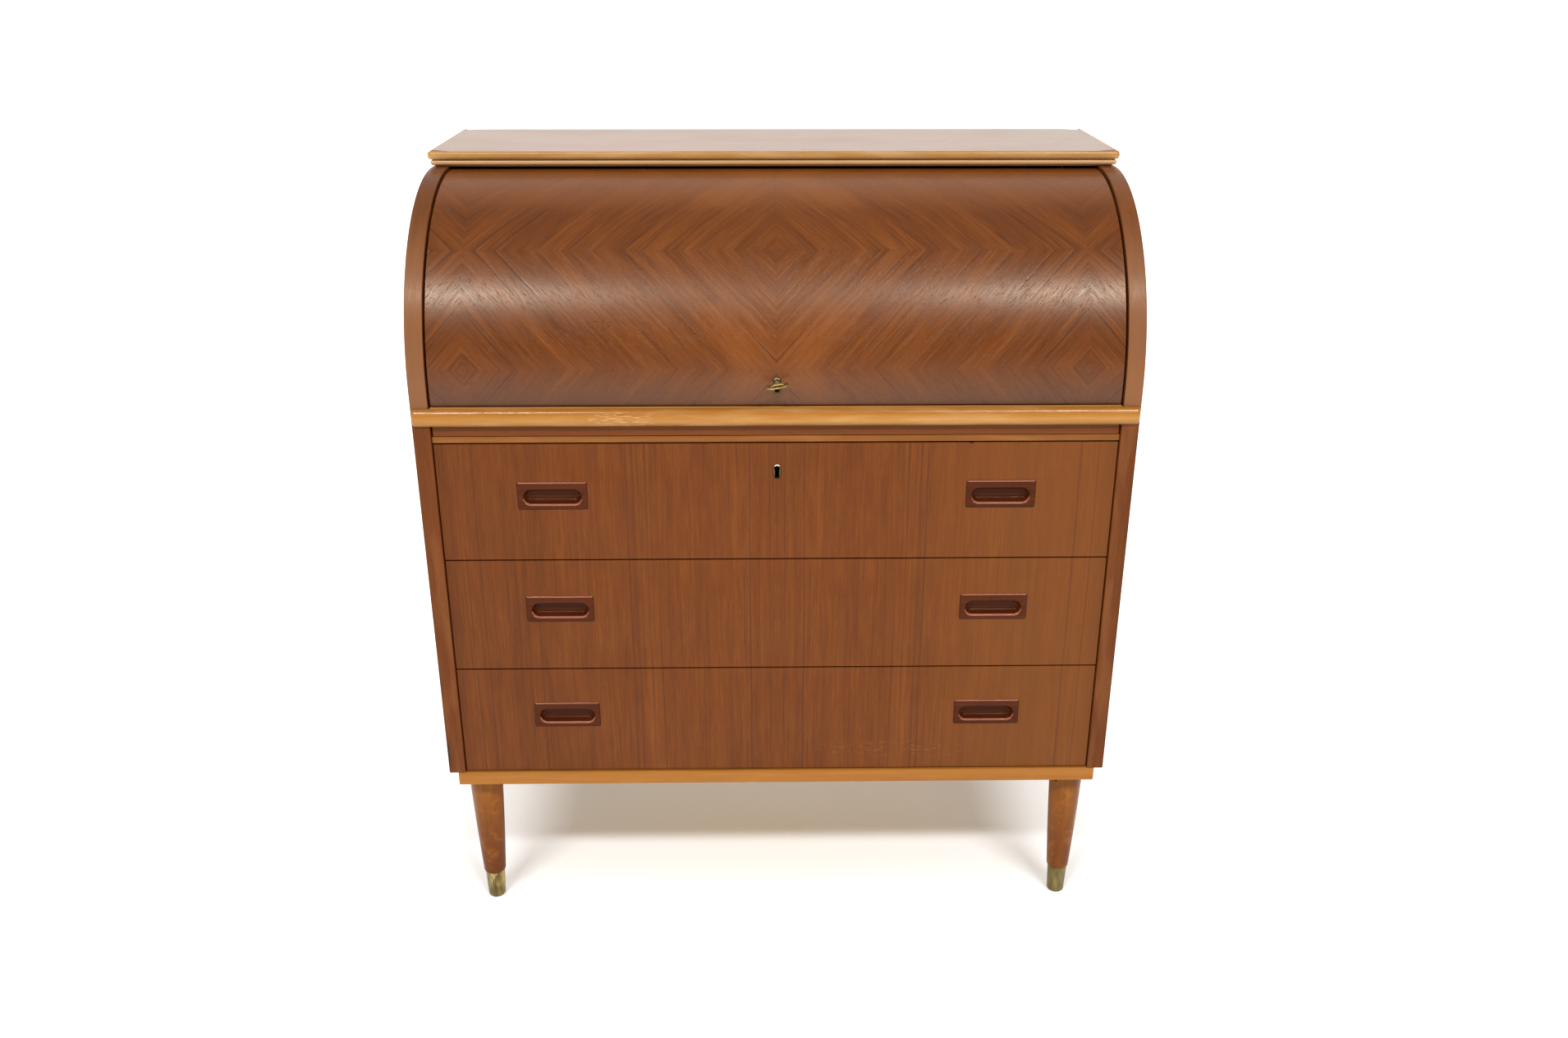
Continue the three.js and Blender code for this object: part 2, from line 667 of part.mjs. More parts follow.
DRAWER_NAMES.forEach((name, level) => {
  const low = CASE_BASE + level * DRAWER_PITCH;
  const locked = name === "top";
  const keyhole = linerHole([frontY[0] - 1, frontY[1] + 1]);
  keyhole.translate(0, 0, DRAWER_KEYHOLE);
  add(`drawer_front_${name}`, drawerFront(low, locked ? [keyhole] : []), TEAK);
  add(`drawer_box_${name}`, drawerBox(low), BIRCH_PLY);
  for (const [hand, side] of [["left", -1], ["right", 1]]) {
    add(`pull_${name}_${hand}`, fingerPull(side * PULL_X, low + PULL_LIFT), TEAK_PULL);
    const x = [side * (FIXED_HALF - RUNNER_THICKNESS), side * FIXED_HALF].sort((a, b) => a - b);
    add(`runner_${name}_${hand}`, block(x, runnerY, runnerZ(low)), BEECH);
  }
});

// ---- top drawer's lock: its bolt rises into the slot in the dust board ----

const DRAWER_LOCK = { halfWidth: 28, low: -23, depth: 11.5, wall: 1.8 };
const DRAWER_BOLT = { halfWidth: 9, low: 4, from: 3.6, to: 8.2 };

const lockTop = CASE_BASE + 3 * DRAWER_PITCH - FRONT_GAP;
const lockY = frontY[1] + GAP;

function drawerLockCase() {
  const z = [DRAWER_KEYHOLE + DRAWER_LOCK.low, lockTop];
  const half = DRAWER_LOCK.halfWidth;
  const body = block([-half, half], [lockY, lockY + DRAWER_LOCK.depth], z);
  const hollow = block(
    [-half + 5, half - 5],
    [lockY - 1, lockY + DRAWER_LOCK.depth - DRAWER_LOCK.wall],
    [z[0] + 3, z[1] + 1],
  );
  return cut(body, [hollow]);
}

add("drawer_lock_case", drawerLockCase(), STEEL);
add(
  "drawer_lock_bolt",
  block(
    [-DRAWER_BOLT.halfWidth, DRAWER_BOLT.halfWidth],
    [lockY + DRAWER_BOLT.from, lockY + DRAWER_BOLT.to],
    [DRAWER_KEYHOLE + DRAWER_BOLT.low, lockTop],
  ),
  STEEL,
);
const drawerLiner = keyholeLiner([frontY[0] - LINER.proud, frontY[0] - LINER.proud + LINER.length]);
add("drawer_keyhole_liner", drawerLiner.translate(0, 0, DRAWER_KEYHOLE), BRASS);

// ---- pigeonhole unit behind the writing space, with two small drawers ----

const UNIT_HALF = 412;
const UNIT_FRONT = 233;
const UNIT_BACK = 405;
const UNIT_BOARD = 9;
const UNIT_BACK_BOARD = 6;
const UNIT_HEIGHT = 149.7;
const BAY_HALF = 145; // half the width of the open middle bay
const SHELF_LIFT = 73.7;
const FOOT_FROM = 420;
const FOOT_TO = 458;
const UNIT_RAIL = 18;
const UNIT_RAIL_HEIGHT = 37.7;
const SMALL_GAP = 1.5;
const SMALL_WALL = 8;

const unitZ = [LEAF_TOP + 2, LEAF_TOP + 2 + UNIT_HEIGHT];
const unitFloor = unitZ[0] + UNIT_BOARD;
const shelfZ = [unitZ[0] + SHELF_LIFT, unitZ[0] + SHELF_LIFT + UNIT_BOARD];

function pigeonholeUnit() {
  const x = [-UNIT_HALF, UNIT_HALF];
  const y = [depth(UNIT_FRONT), depth(UNIT_BACK)];
  const railY = [depth(FOOT_TO - UNIT_RAIL), depth(FOOT_TO)];
  const uprights = [-UNIT_HALF, -BAY_HALF - UNIT_BOARD, BAY_HALF, UNIT_HALF - UNIT_BOARD];
  return join([
    block(x, [y[0], depth(FOOT_TO)], [unitZ[0], unitFloor]),
    block(x, y, [unitZ[1] - UNIT_BOARD, unitZ[1]]),
    block(x, [y[1] - UNIT_BACK_BOARD, y[1]], unitZ),
    block(x, y, shelfZ),
    ...uprights.map((at) => block([at, at + UNIT_BOARD], y, unitZ)),
    block(fixedX, [depth(FOOT_FROM), depth(FOOT_TO)], [unitZ[0], unitFloor]),
    block(fixedX, railY, [unitZ[0], unitZ[0] + UNIT_RAIL_HEIGHT]),
  ]);
}

add("pigeonhole_unit", pigeonholeUnit(), TEAK);

function smallDrawer(side) {
  const near = BAY_HALF + UNIT_BOARD + SMALL_GAP;
  const far = UNIT_HALF - UNIT_BOARD - SMALL_GAP;
  const x = [side * near, side * far].sort((a, b) => a - b);
  const y = [depth(UNIT_FRONT + 3), depth(UNIT_BACK - UNIT_BACK_BOARD - 3)];
  const z = [unitFloor + SMALL_GAP / 2, shelfZ[0] - SMALL_GAP];
  const hollow = block(
    [x[0] + SMALL_WALL, x[1] - SMALL_WALL],
    [y[0] + SMALL_WALL + 2, y[1] - SMALL_WALL],
    [z[0] + SMALL_WALL / 2, z[1] + 1],
  );
  const notchRadius = 13;
  const notchMiddle = [(x[0] + x[1]) / 2, z[1]];
  const notch = bar("y", notchRadius, y[0] - 1, y[0] + SMALL_WALL + 3, notchMiddle);
  return cut(block(x, y, z), [hollow, notch]);
}

add("small_drawer_left", smallDrawer(-1), TEAK);
add("small_drawer_right", smallDrawer(1), TEAK);

export default group;
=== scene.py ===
import json
import math
from functools import partialmethod

import bmesh
import bpy
from mathutils import Matrix, Vector


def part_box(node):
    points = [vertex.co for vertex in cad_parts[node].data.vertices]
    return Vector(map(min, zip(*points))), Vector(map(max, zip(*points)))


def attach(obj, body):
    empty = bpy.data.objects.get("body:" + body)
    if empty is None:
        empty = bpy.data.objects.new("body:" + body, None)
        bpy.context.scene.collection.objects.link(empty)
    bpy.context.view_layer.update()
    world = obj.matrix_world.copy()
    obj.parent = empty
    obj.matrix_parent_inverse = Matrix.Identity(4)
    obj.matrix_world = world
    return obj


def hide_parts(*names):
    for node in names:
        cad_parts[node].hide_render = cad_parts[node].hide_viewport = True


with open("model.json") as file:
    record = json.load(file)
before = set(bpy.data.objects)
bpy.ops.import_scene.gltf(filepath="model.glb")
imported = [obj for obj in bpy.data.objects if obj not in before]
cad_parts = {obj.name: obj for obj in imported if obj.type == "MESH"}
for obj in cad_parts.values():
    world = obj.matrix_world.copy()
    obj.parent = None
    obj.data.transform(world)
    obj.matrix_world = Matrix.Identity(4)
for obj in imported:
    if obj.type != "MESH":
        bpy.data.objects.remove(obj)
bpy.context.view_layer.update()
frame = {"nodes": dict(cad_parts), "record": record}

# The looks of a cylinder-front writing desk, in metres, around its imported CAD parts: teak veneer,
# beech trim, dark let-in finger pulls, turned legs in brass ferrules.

scene = bpy.context.scene
SIDES = (("left", -1), ("right", 1))
DRAWERS = ("bottom", "middle", "top")


# ---- camera, floor and light ----

LENS = 31.31
CAMERA_PLACE = Vector((-0.0175, -1.8184, 1.2835))
CAMERA_PITCH = math.radians(22.79)  # below the horizontal
CAMERA_YAW = math.radians(0.94)  # towards +X
CAMERA_ROLL = math.radians(0.08)


def add_camera():
    data = bpy.data.cameras.new("camera")
    data.lens = LENS
    data.sensor_width = 36
    camera = bpy.data.objects.new("camera", data)
    ahead = Vector((math.sin(CAMERA_YAW), math.cos(CAMERA_YAW), 0)) * math.cos(CAMERA_PITCH)
    ahead.z = -math.sin(CAMERA_PITCH)
    right = Vector((math.cos(CAMERA_YAW), -math.sin(CAMERA_YAW), 0))
    down = ahead.cross(right)
    rolled_right = right * math.cos(CAMERA_ROLL) - down * math.sin(CAMERA_ROLL)
    rolled_down = right * math.sin(CAMERA_ROLL) + down * math.cos(CAMERA_ROLL)
    axes = Matrix((rolled_right, -rolled_down, -ahead)).transposed()
    camera.matrix_world = Matrix.Translation(CAMERA_PLACE) @ axes.to_4x4()
    scene.collection.objects.link(camera)
    scene.camera = camera


STRIP_PLACE = (1.86, -3.5, 4.26)  # of the right-hand strip; the left one mirrors it
STRIP_AIM = (0.8, 0, 0.4)
STRIP_SIZE = (1.81, 0.29)
STRIP_POWER = 157
STRIP_COLOUR = (1, 0.972, 0.94)
ROOM_COLOUR = (1, 0.955, 0.89, 1)
WALL_AHEAD = 0.19  # brightness of the room in front of the desk, of the wall behind, overhead
WALL_BEHIND = 1.14
CEILING = 0.45
WALL_TURN = 0.4  # how far ahead and behind the walls change over, and how high the ceiling starts
CEILING_START, CEILING_FULL = 0.45, 0.9
FLOOR_REACH = 12
PAPER = (0.84, 0.885, 0.935, 1)
GLOW_COLOUR = (1, 0.97, 0.94, 1)
GLOW = 0.9  # the floor's own glow, painted light, well away from the desk; none near it
GLOW_REACH = 0.42
LIT_HALF, LIT_FRONT, LIT_BACK = 0.32, -0.06, 0.3  # the floor that only the lamps light


def add_strip(name, side):
    """One of two long soft lights high in front of the desk."""
    data = bpy.data.lights.new(name, "AREA")
    data.shape = "RECTANGLE"
    data.size, data.size_y = STRIP_SIZE
    data.energy = STRIP_POWER
    data.color = STRIP_COLOUR
    light = bpy.data.objects.new(name, data)
    place, aim = (Vector((side * at[0], *at[1:])) for at in (STRIP_PLACE, STRIP_AIM))
    light.location = place
    light.rotation_euler = (aim - place).to_track_quat("-Z", "Y").to_euler()
    light.visible_camera = False
    scene.collection.objects.link(light)


def add_room():
    """A soft room: dim ahead of the desk, white behind it, plain white to the camera."""
    world = bpy.data.worlds.new("room")
    world.use_nodes = True
    room = Nodes(world.node_tree)
    _, y, z = room.split(room.node("TexCoord").outputs["Generated"])
    around = room.remap(y, -WALL_TURN, WALL_TURN, WALL_AHEAD, WALL_BEHIND, smooth=False)
    height = room.remap(z, CEILING_START, CEILING_FULL, smooth=False)
    lit = room.math("MULTIPLY_ADD", height, room.minus(CEILING, around), around)
    background = room.tree.nodes["Background"]
    seen = room.node("LightPath").outputs["Is Camera Ray"]
    room.feed(background.inputs["Strength"], room.larger(lit, seen))
    background.inputs["Color"].default_value = ROOM_COLOUR
    scene.world = world


def floor_paint():
    """White paper, lit by the lamps around the desk, and plain white further out, where it glows with
    painted light of its own that washes the lamps' shadows out.
    """
    shader = Shader("floor")
    x, y, _ = shader.xyz()
    aside = shader.minus(shader.absolute(x), LIT_HALF)
    ahead, behind = shader.minus(LIT_FRONT, y), shader.minus(y, LIT_BACK)
    out = shader.larger(aside, shader.larger(ahead, behind))
    mottle = shader.noise(shader.place(), (9, 9, 9), 4)
    # Painted light: the paper's glow rises away from the desk.
    shader.set(Base_Color=PAPER, Roughness=shader.remap(mottle, 0.3, 0.7, 0.6, 0.8),
               Specular_IOR_Level=0.1, Emission_Color=GLOW_COLOUR,
               Emission_Strength=shader.remap(out, 0.0, GLOW_REACH, 0.0, GLOW))
    return shader.material


def add_studio():
    scene.view_settings.view_transform = "Standard"
    add_room()
    add_strip("strip_left", -1)
    add_strip("strip_right", 1)
    floor = bpy.data.meshes.new("floor")
    corners = ((-1, -1), (1, -1), (1, 1), (-1, 1))
    floor.from_pydata([(x * FLOOR_REACH, y * FLOOR_REACH, 0) for x, y in corners], [], [(0, 1, 2, 3)])
    floor.materials.append(floor_paint())
    sheet = bpy.data.objects.new("floor", floor)
    scene.collection.objects.link(sheet)


# ---- materials ----

def srgb(red, green, blue):
    def linear(value):
        value /= 255
        return value / 12.92 if value <= 0.04045 else ((value + 0.055) / 1.055) ** 2.4
    return (linear(red), linear(green), linear(blue), 1)


class Nodes:
    """A node tree, with short calls that return output sockets."""

    def __init__(self, tree):
        self.tree = tree

    def node(self, kind, *values, **settings):
        """A new node, its first inputs fed; None leaves an input as it is."""
        node = self.tree.nodes.new("ShaderNode" + kind)
        for key, value in settings.items():
            setattr(node, key, value)
        for socket, value in zip(node.inputs, values):
            self.feed(socket, value)
        return node

    def feed(self, socket, value):
        if isinstance(value, bpy.types.NodeSocket):
            self.tree.links.new(value, socket)
        elif value is not None:
            socket.default_value = value

    def math(self, operation, *values):
        return self.node("Math", *values, operation=operation).outputs[0]

    times = partialmethod(math, "MULTIPLY")
    plus = partialmethod(math, "ADD")
    minus = partialmethod(math, "SUBTRACT")
    larger = partialmethod(math, "MAXIMUM")
    absolute = partialmethod(math, "ABSOLUTE")

    def vector(self, operation, *values):
        return self.node("VectorMath", *values, operation=operation).outputs[0]

    def length(self, vector):
        return self.node("VectorMath", vector, operation="LENGTH").outputs["Value"]

    def blend(self, *parts):
        """The sum of (value, weight) pairs."""
        total = 0.0
        for value, weight in parts:
            total = self.math("MULTIPLY_ADD", value, weight, total)
        return total

    def combine(self, x, y, z):
        return self.node("CombineXYZ", x, y, z).outputs[0]

    def split(self, vector):
        return self.node("SeparateXYZ", vector).outputs

    def noise(self, vector, stretch, detail=2.0, roughness=0.5, distortion=0.0):
        node = self.node("TexNoise")
        for name, value in (("Vector", self.vector("MULTIPLY", vector, stretch)), ("Scale", 1),
                            ("Detail", detail), ("Roughness", roughness),
                            ("Distortion", distortion)):
            self.feed(node.inputs[name], value)
        return node.outputs[0]

    def remap(self, value, low, high, to_low=0.0, to_high=1.0, smooth=True):
        kind = "SMOOTHSTEP" if smooth else "LINEAR"
        return self.node("MapRange", value, low, high, to_low, to_high, clamp=True,
                         interpolation_type=kind).outputs[0]

    def ramp(self, value, *stops):
        """Runs through (position, sRGB colour) stops."""
        node = self.node("ValToRGB", value)
        elements = node.color_ramp.elements
        while len(elements) < len(stops):
            elements.new(0.5)
        for element, (position, colour) in zip(elements, stops):
            element.position = position
            element.color = srgb(*colour)
        return node.outputs[0]


class Shader(Nodes):
    """A material's node tree, and the colour, roughness and relief that its surface is given."""

    def __init__(self, name):
        self.material = bpy.data.materials.new(name)
        self.material.use_nodes = True
        super().__init__(self.material.node_tree)
        self.surface = self.tree.nodes["Principled BSDF"]

    def tint(self, colour, amount, strength=None):
        """Mixes an sRGB colour into the shader's own colour, by amount times strength."""
        amount = amount if strength is None else self.times(amount, strength)
        node = self.node("Mix", amount, data_type="RGBA")
        self.feed(node.inputs[6], self.colour)
        self.feed(node.inputs[7], srgb(*colour))
        self.colour = node.outputs[2]

    def place(self):
        return self.node("TexCoord").outputs["Object"]

    def xyz(self):
        return self.split(self.place())

    def own_offset(self):
        """A number of its own for each piece, so that two boards never share a figure."""
        return self.times(self.node("ObjectInfo").outputs["Random"], 7.0)

    def bump(self, height, strength, distance):
        node = self.node("Bump")
        for name, value in (("Strength", strength), ("Distance", distance), ("Height", height)):
            self.feed(node.inputs[name], value)
        self.feed(self.surface.inputs["Normal"], node.outputs[0])

    def set(self, **values):
        for key, value in values.items():
            self.feed(self.surface.inputs[key.replace("_", " ")], value)


# ---- wood ----

GRAIN_AXES = {"x": (0, 2, 1), "y": (1, 0, 2), "z": (2, 0, 1)}  # along, across and into a board

TEAK = dict(tones=((79, 38, 11), (98, 50, 16), (116, 65, 24)), line=(62, 29, 12), lines=0.4,
            bands=48, wander=0.004, pores=0.3, roughness=0.42, contrast=1.0, gloss=0.18)
BEECH = dict(tones=((160, 100, 42), (182, 127, 62), (198, 149, 82)), line=(140, 80, 32), lines=0.22,
             bands=70, wander=0.003, pores=0.1, roughness=0.36, contrast=0.7, gloss=0.4)
PLY = dict(tones=((186, 150, 102), (204, 172, 124), (218, 190, 146)), line=(150, 112, 70),
           lines=0.3, bands=30, wander=0.006, pores=0.1, roughness=0.6, contrast=0.8, gloss=0.3)
SPECULAR_TINT = (1, 0.915, 0.77, 1)  # the lacquer is a warm one
MADE = {}


def look(base, **changes):
    return {**base, **changes}


def grain_lines(shader, grain, per_metre, width):
    """Dark lines along the fibres at uneven distances, each fading in and out on its own."""
    along, across, into = shader.split(grain)
    cells = shader.node("TexVoronoi", voronoi_dimensions="1D")
    cells.inputs["Scale"].default_value = per_metre
    shader.feed(cells.inputs["W"], shader.plus(across, into))
    near = shader.remap(cells.outputs["Distance"], 0.0, width * per_metre, 1.0, 0.0)
    own = shader.split(cells.outputs["Color"])[0]
    place = shader.combine(along, shader.times(own, 9.0), 0.0)
    return shader.times(near, shader.remap(shader.noise(place, (5, 7, 1), 3), 0.44, 0.62))


def wood_surface(shader, grain, kind):
    """Gives a shader its wood, from grain = (along, across, into) in metres."""
    shader.grain, shader.kind = grain, kind
    wander = shader.noise(grain, (1.6, 7, 7), 3, 0.4)
    drift = shader.times(shader.minus(wander, 0.5), kind["wander"])
    grain = shader.vector("ADD", grain, shader.combine(0, drift, drift))

    density = kind["bands"]
    bands = shader.noise(grain, (0.9, density, density), 3, 0.55)
    broad = shader.noise(grain, (0.7, 8, 8), 2)
    streaks = shader.noise(grain, (15, 240, 240), 3, 0.6)
    fibres = shader.noise(grain, (16, 720, 720), 3, 0.65)
    mottle = shader.noise(grain, (22, 60, 60), 2)
    tone = shader.blend((bands, 0.3), (broad, 0.2), (streaks, 0.24), (fibres, 0.16), (mottle, 0.1))
    spread = 0.14 / kind["contrast"]
    tone = shader.remap(tone, 0.5 - spread, 0.5 + spread, smooth=False)
    shader.colour = shader.ramp(tone, *zip((0.0, 0.5, 1.0), kind["tones"]))

    thick = grain_lines(shader, grain, density * 0.7, 0.0014)
    thin = shader.times(grain_lines(shader, grain, density * 2.6, 0.0008), 0.6)
    lines = shader.larger(thick, thin)
    shader.tint(kind["line"], lines, kind["lines"])
    pores = shader.remap(shader.noise(grain, (90, 1500, 1500), 1), 0.6, 0.72)
    shader.tint(kind["line"], pores, kind["pores"])

    rough = shader.blend((fibres, 0.12), (streaks, 0.2), (pores, 0.12))
    shader.rough = shader.plus(rough, kind["roughness"] - 0.16)
    shader.relief = shader.blend((fibres, 0.5), (streaks, 1.0), (lines, -0.5), (pores, -0.6))


def spot(shader, centre, reach, ragged=0.5, place=None):
    """A patch with a broken edge: 1 in its middle, 0 outside; reach is its half size each way."""
    place = shader.place() if place is None else place
    offset = shader.vector("SUBTRACT", place, centre)
    away = shader.vector("DIVIDE", offset, reach)
    broken = shader.times(shader.noise(away, (2.2, 2.2, 2.2), 3), 2 * ragged)
    distance = shader.plus(shader.length(away), shader.minus(broken, ragged))
    return shader.remap(distance, 0.35, 1.0, 1.0, 0.0)


def worn(shader, tint, amount):
    """Rubbed patches, stronger where a broken noise says so."""
    patches = shader.remap(shader.noise(shader.grain, (9, 60, 60), 3), 0.46, 0.7)
    shader.tint(tint, patches, amount)


def finish_wood(shader, relief_depth=0.00008):
    shader.set(Base_Color=shader.colour, Roughness=shader.rough, IOR=1.46,
               Specular_IOR_Level=shader.kind["gloss"], Specular_Tint=SPECULAR_TINT)
    shader.bump(shader.relief, 0.5, relief_depth)
    return shader.material


def along_axis(shader, axis, own=True):
    """Grain coordinates for a straight board whose fibres run along a row axis."""
    parts = shader.xyz()
    along, across, into = (parts[i] for i in GRAIN_AXES[axis])
    return shader.combine(along, across, shader.plus(into, shader.own_offset()) if own else into)


def board_material(name, kind, axis, wear=None):
    if name not in MADE:
        shader = Shader(name)
        wood_surface(shader, along_axis(shader, axis), kind)
        if wear:
            worn(shader, *wear)
        MADE[name] = finish_wood(shader)
    return MADE[name]


def teak(axis):
    return board_material(f"teak_{axis}", TEAK, axis)


def teak_boards(axis):
    """A teak board's two finishes: its faces', and its rubbed edges'."""
    return teak(axis), board_material(f"teak_edge_{axis}", TEAK, axis, ((168, 110, 68), 0.7))


def beech(axis):
    return board_material(f"beech_{axis}", BEECH, axis)


def beech_edge(axis):
    return board_material(f"beech_edge_{axis}", BEECH, axis, ((226, 178, 112), 0.6))


def beech_boards(axis):
    return beech(axis), beech_edge(axis)


def ply(axis):
    return board_material(f"ply_{axis}", PLY, axis)


def ply_boards(axis):
    """Plywood's two finishes: its faces', and its edges', which are browner and more even."""
    name = f"ply_edge_{axis}"
    if name not in MADE:
        shader = Shader(name)
        wood_surface(shader, along_axis(shader, axis), look(PLY, contrast=0.5))
        shader.tint((150, 108, 66), 0.35)
        MADE[name] = finish_wood(shader)
    return ply(axis), MADE[name]


# Single dark streaks in the drawers' veneer: distance from the middle, half width, depth of tone.
DRAWER_STREAKS = (
    (0.0345, 0.0024, 0.75), (0.0085, 0.0016, 0.35), (0.062, 0.0016, 0.3), (0.084, 0.0014, 0.25),
    (0.16, 0.0014, 0.3), (0.166, 0.0024, 0.6), (0.174, 0.0012, 0.35), (0.182, 0.0026, 0.65),
    (0.19, 0.002, 0.6), (0.382, 0.0026, 0.5), (0.404, 0.0022, 0.45),
)
STREAK_TINT = (72, 36, 19)


def drawer_veneer():
    """Straight veneer on the drawer fronts, one run over all three, matched about the middle."""
    shader = Shader("teak_drawers")
    x, y, z = shader.xyz()
    half = shader.absolute(x)
    wood_surface(shader, shader.combine(z, half, shader.plus(y, 0.31)),
                 look(TEAK, lines=0.5, bands=40, wander=0.006,
                      tones=((77, 36, 7), (97, 48, 11), (115, 61, 17))))
    shader.tint((118, 69, 25), shader.remap(x, 0.1, 0.36, 0.0, 0.4))
    sway = shader.times(shader.noise(shader.grain, (3, 0, 0), 2), 0.006)
    fade = shader.remap(shader.noise(shader.grain, (5, 400, 400), 2), 0.3, 0.6, 0.35, 1.0)
    for at, width, depth in DRAWER_STREAKS:
        away = shader.absolute(shader.minus(half, shader.plus(sway, at - 0.003)))
        shader.tint(STREAK_TINT, shader.remap(away, 0.0, width, depth, 0.0), fade)
    shader.tint(STREAK_TINT, shader.remap(half, 0.0, 0.0006, 0.35, 0.0))  # the seam in the middle
    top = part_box("drawer_front_top")[1].z
    nick = spot(shader, (0.243, CASE[0], top), (0.0034, 1, 0.0026), 0.2)
    shader.tint((38, 20, 12), nick)
    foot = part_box("drawer_front_bottom")[0].z
    rubbed = spot(shader, (0.16, CASE[0], foot + 0.03), (0.15, 1, 0.016))
    scratch = shader.remap(shader.noise(shader.place(), (110, 1, 420), 3), 0.56, 0.66, 0.0, 0.28)
    shader.tint((142, 90, 48), rubbed, scratch)
    return finish_wood(shader)


COVER_SEAM_ANGLE = 43.5  # the diamond match's level seam, in degrees above the pivot's level
LEAF_HEIGHT = 0.149  # one veneer leaf, measured round the curve
LEAF_WIDTH = 0.382
COVER_GRAIN_ANGLE = 48  # fibres against the level seams
COVER_SLICE = 0.417  # where in the log the leaves were cut
# Marks that the veneer leaves share: place from the middle seams, half size, tint, strength.
COVER_MARKS = (
    ((0.178, 0.22), (0.026, 0.0034), (66, 32, 16), 0.6),
    ((0.07, 0.155), (0.018, 0.0022), (66, 32, 16), 0.4),
    ((-0.05, 0.11), (0.09, 0.034), (130, 72, 24), 0.3),
    ((0.16, 0.12), (0.05, 0.012), (130, 68, 24), 0.35),
)
CREST_HIGHLIGHT = (0.975, 0.998)  # heights between which the cover's veneer is painted paler: a painted highlight along its crest


def cover_veneer():
    """Diamond-matched veneer round the curve: each leaf is its neighbour's mirror image."""
    shader = Shader("teak_cover")
    radius = cover_angles()[0]
    x, y, z = shader.xyz()
    angle = shader.math("ARCTAN2", shader.minus(z, PIVOT_Z), shader.minus(PIVOT_Y, y))
    up = shader.minus(shader.times(angle, radius), math.radians(COVER_SEAM_ANGLE) * radius)
    across = shader.math("PINGPONG", shader.plus(x, 0.0003), LEAF_WIDTH)  # mirrored at each seam
    climb = shader.math("PINGPONG", up, LEAF_HEIGHT)
    turn = math.radians(COVER_GRAIN_ANGLE)
    cos, sin = math.cos(turn), math.sin(turn)
    along = shader.math("MULTIPLY_ADD", across, cos, shader.times(climb, -sin))
    over = shader.math("MULTIPLY_ADD", across, sin, shader.times(climb, cos))
    column = shader.math("FLOOR", shader.math("DIVIDE", x, LEAF_WIDTH))
    row = shader.math("FLOOR", shader.math("DIVIDE", up, LEAF_HEIGHT))
    leaf = shader.math("MULTIPLY_ADD", row, 0.0011, shader.times(column, 0.0007))
    wood_surface(shader, shader.combine(along, over, shader.plus(leaf, COVER_SLICE)),
                 look(TEAK, contrast=1.3, lines=1.0, line=(52, 24, 11), bands=34, wander=0.01,
                      roughness=0.32, pores=0.45, gloss=0.5,
                      tones=((79, 37, 7), (96, 47, 9), (115, 61, 15))))
    for centre, reach, tint, amount in COVER_MARKS:
        mark = spot(shader, (*centre, COVER_SLICE), (*reach, 9), place=shader.grain)
        shader.tint(tint, mark, amount)
    scribble = shader.remap(shader.noise(shader.grain, (160, 260, 260), 3), 0.56, 0.62, 0.0, 0.5)
    stained = spot(shader, (-0.215, -0.095, 0), (0.034, 0.015, 1), place=shader.combine(x, up, 0))
    shader.tint(shader.kind["line"], stained, scribble)
    # Painted highlight: the veneer paler towards the cover's crest.
    shader.tint((138, 78, 30), shader.remap(z, *CREST_HIGHLIGHT, 0.0, 0.34))
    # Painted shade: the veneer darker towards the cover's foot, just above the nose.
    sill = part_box("leaf_nose")[1].z
    shader.tint((62, 27, 6), shader.remap(z, sill - 0.005, sill + 0.06, 0.62, 0.0))
    for distance in (across, climb):
        shader.tint(shader.kind["line"], shader.remap(distance, 0.0, 0.0005, 0.3, 0.0))
    return finish_wood(shader, 0.0002)


def top_material():
    """The top's lacquered veneer, redder towards the left and unevenly dulled."""
    shader = Shader("teak_top")
    wood_surface(shader, along_axis(shader, "x", own=False),
                 look(TEAK, contrast=0.8, lines=0.3, gloss=0.75, roughness=0.3,
                      tones=((100, 50, 12), (124, 64, 17), (144, 82, 26))))
    shader.tint((150, 66, 44), spot(shader, (-0.2, 0.06, 1.03), (0.2, 0.16, 9)), 0.4)
    dull = shader.remap(shader.noise(shader.place(), (7, 12, 1), 4), 0.45, 0.65, 0.0, 0.035)
    shader.rough = shader.plus(shader.rough, dull)
    shader.set(Coat_Weight=0.8, Coat_Roughness=0.3)
    return finish_wood(shader)


def moulding_material():
    """The top's double bead: the lower bead is painted paler than the upper one."""
    shader = Shader("beech_moulding")
    wood_surface(shader, along_axis(shader, "x"),
                 look(BEECH, roughness=0.28, tones=((146, 96, 46), (166, 121, 66), (182, 142, 86))))
    low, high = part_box("top_moulding_front")
    groove = middle(low.z, high.z)
    lower = shader.remap(shader.xyz()[2], groove - 0.0008, groove + 0.0008, 0.36, 0.0)
    shader.tint((222, 184, 138), lower)
    worn(shader, (196, 160, 112), 0.4)
    return finish_wood(shader)


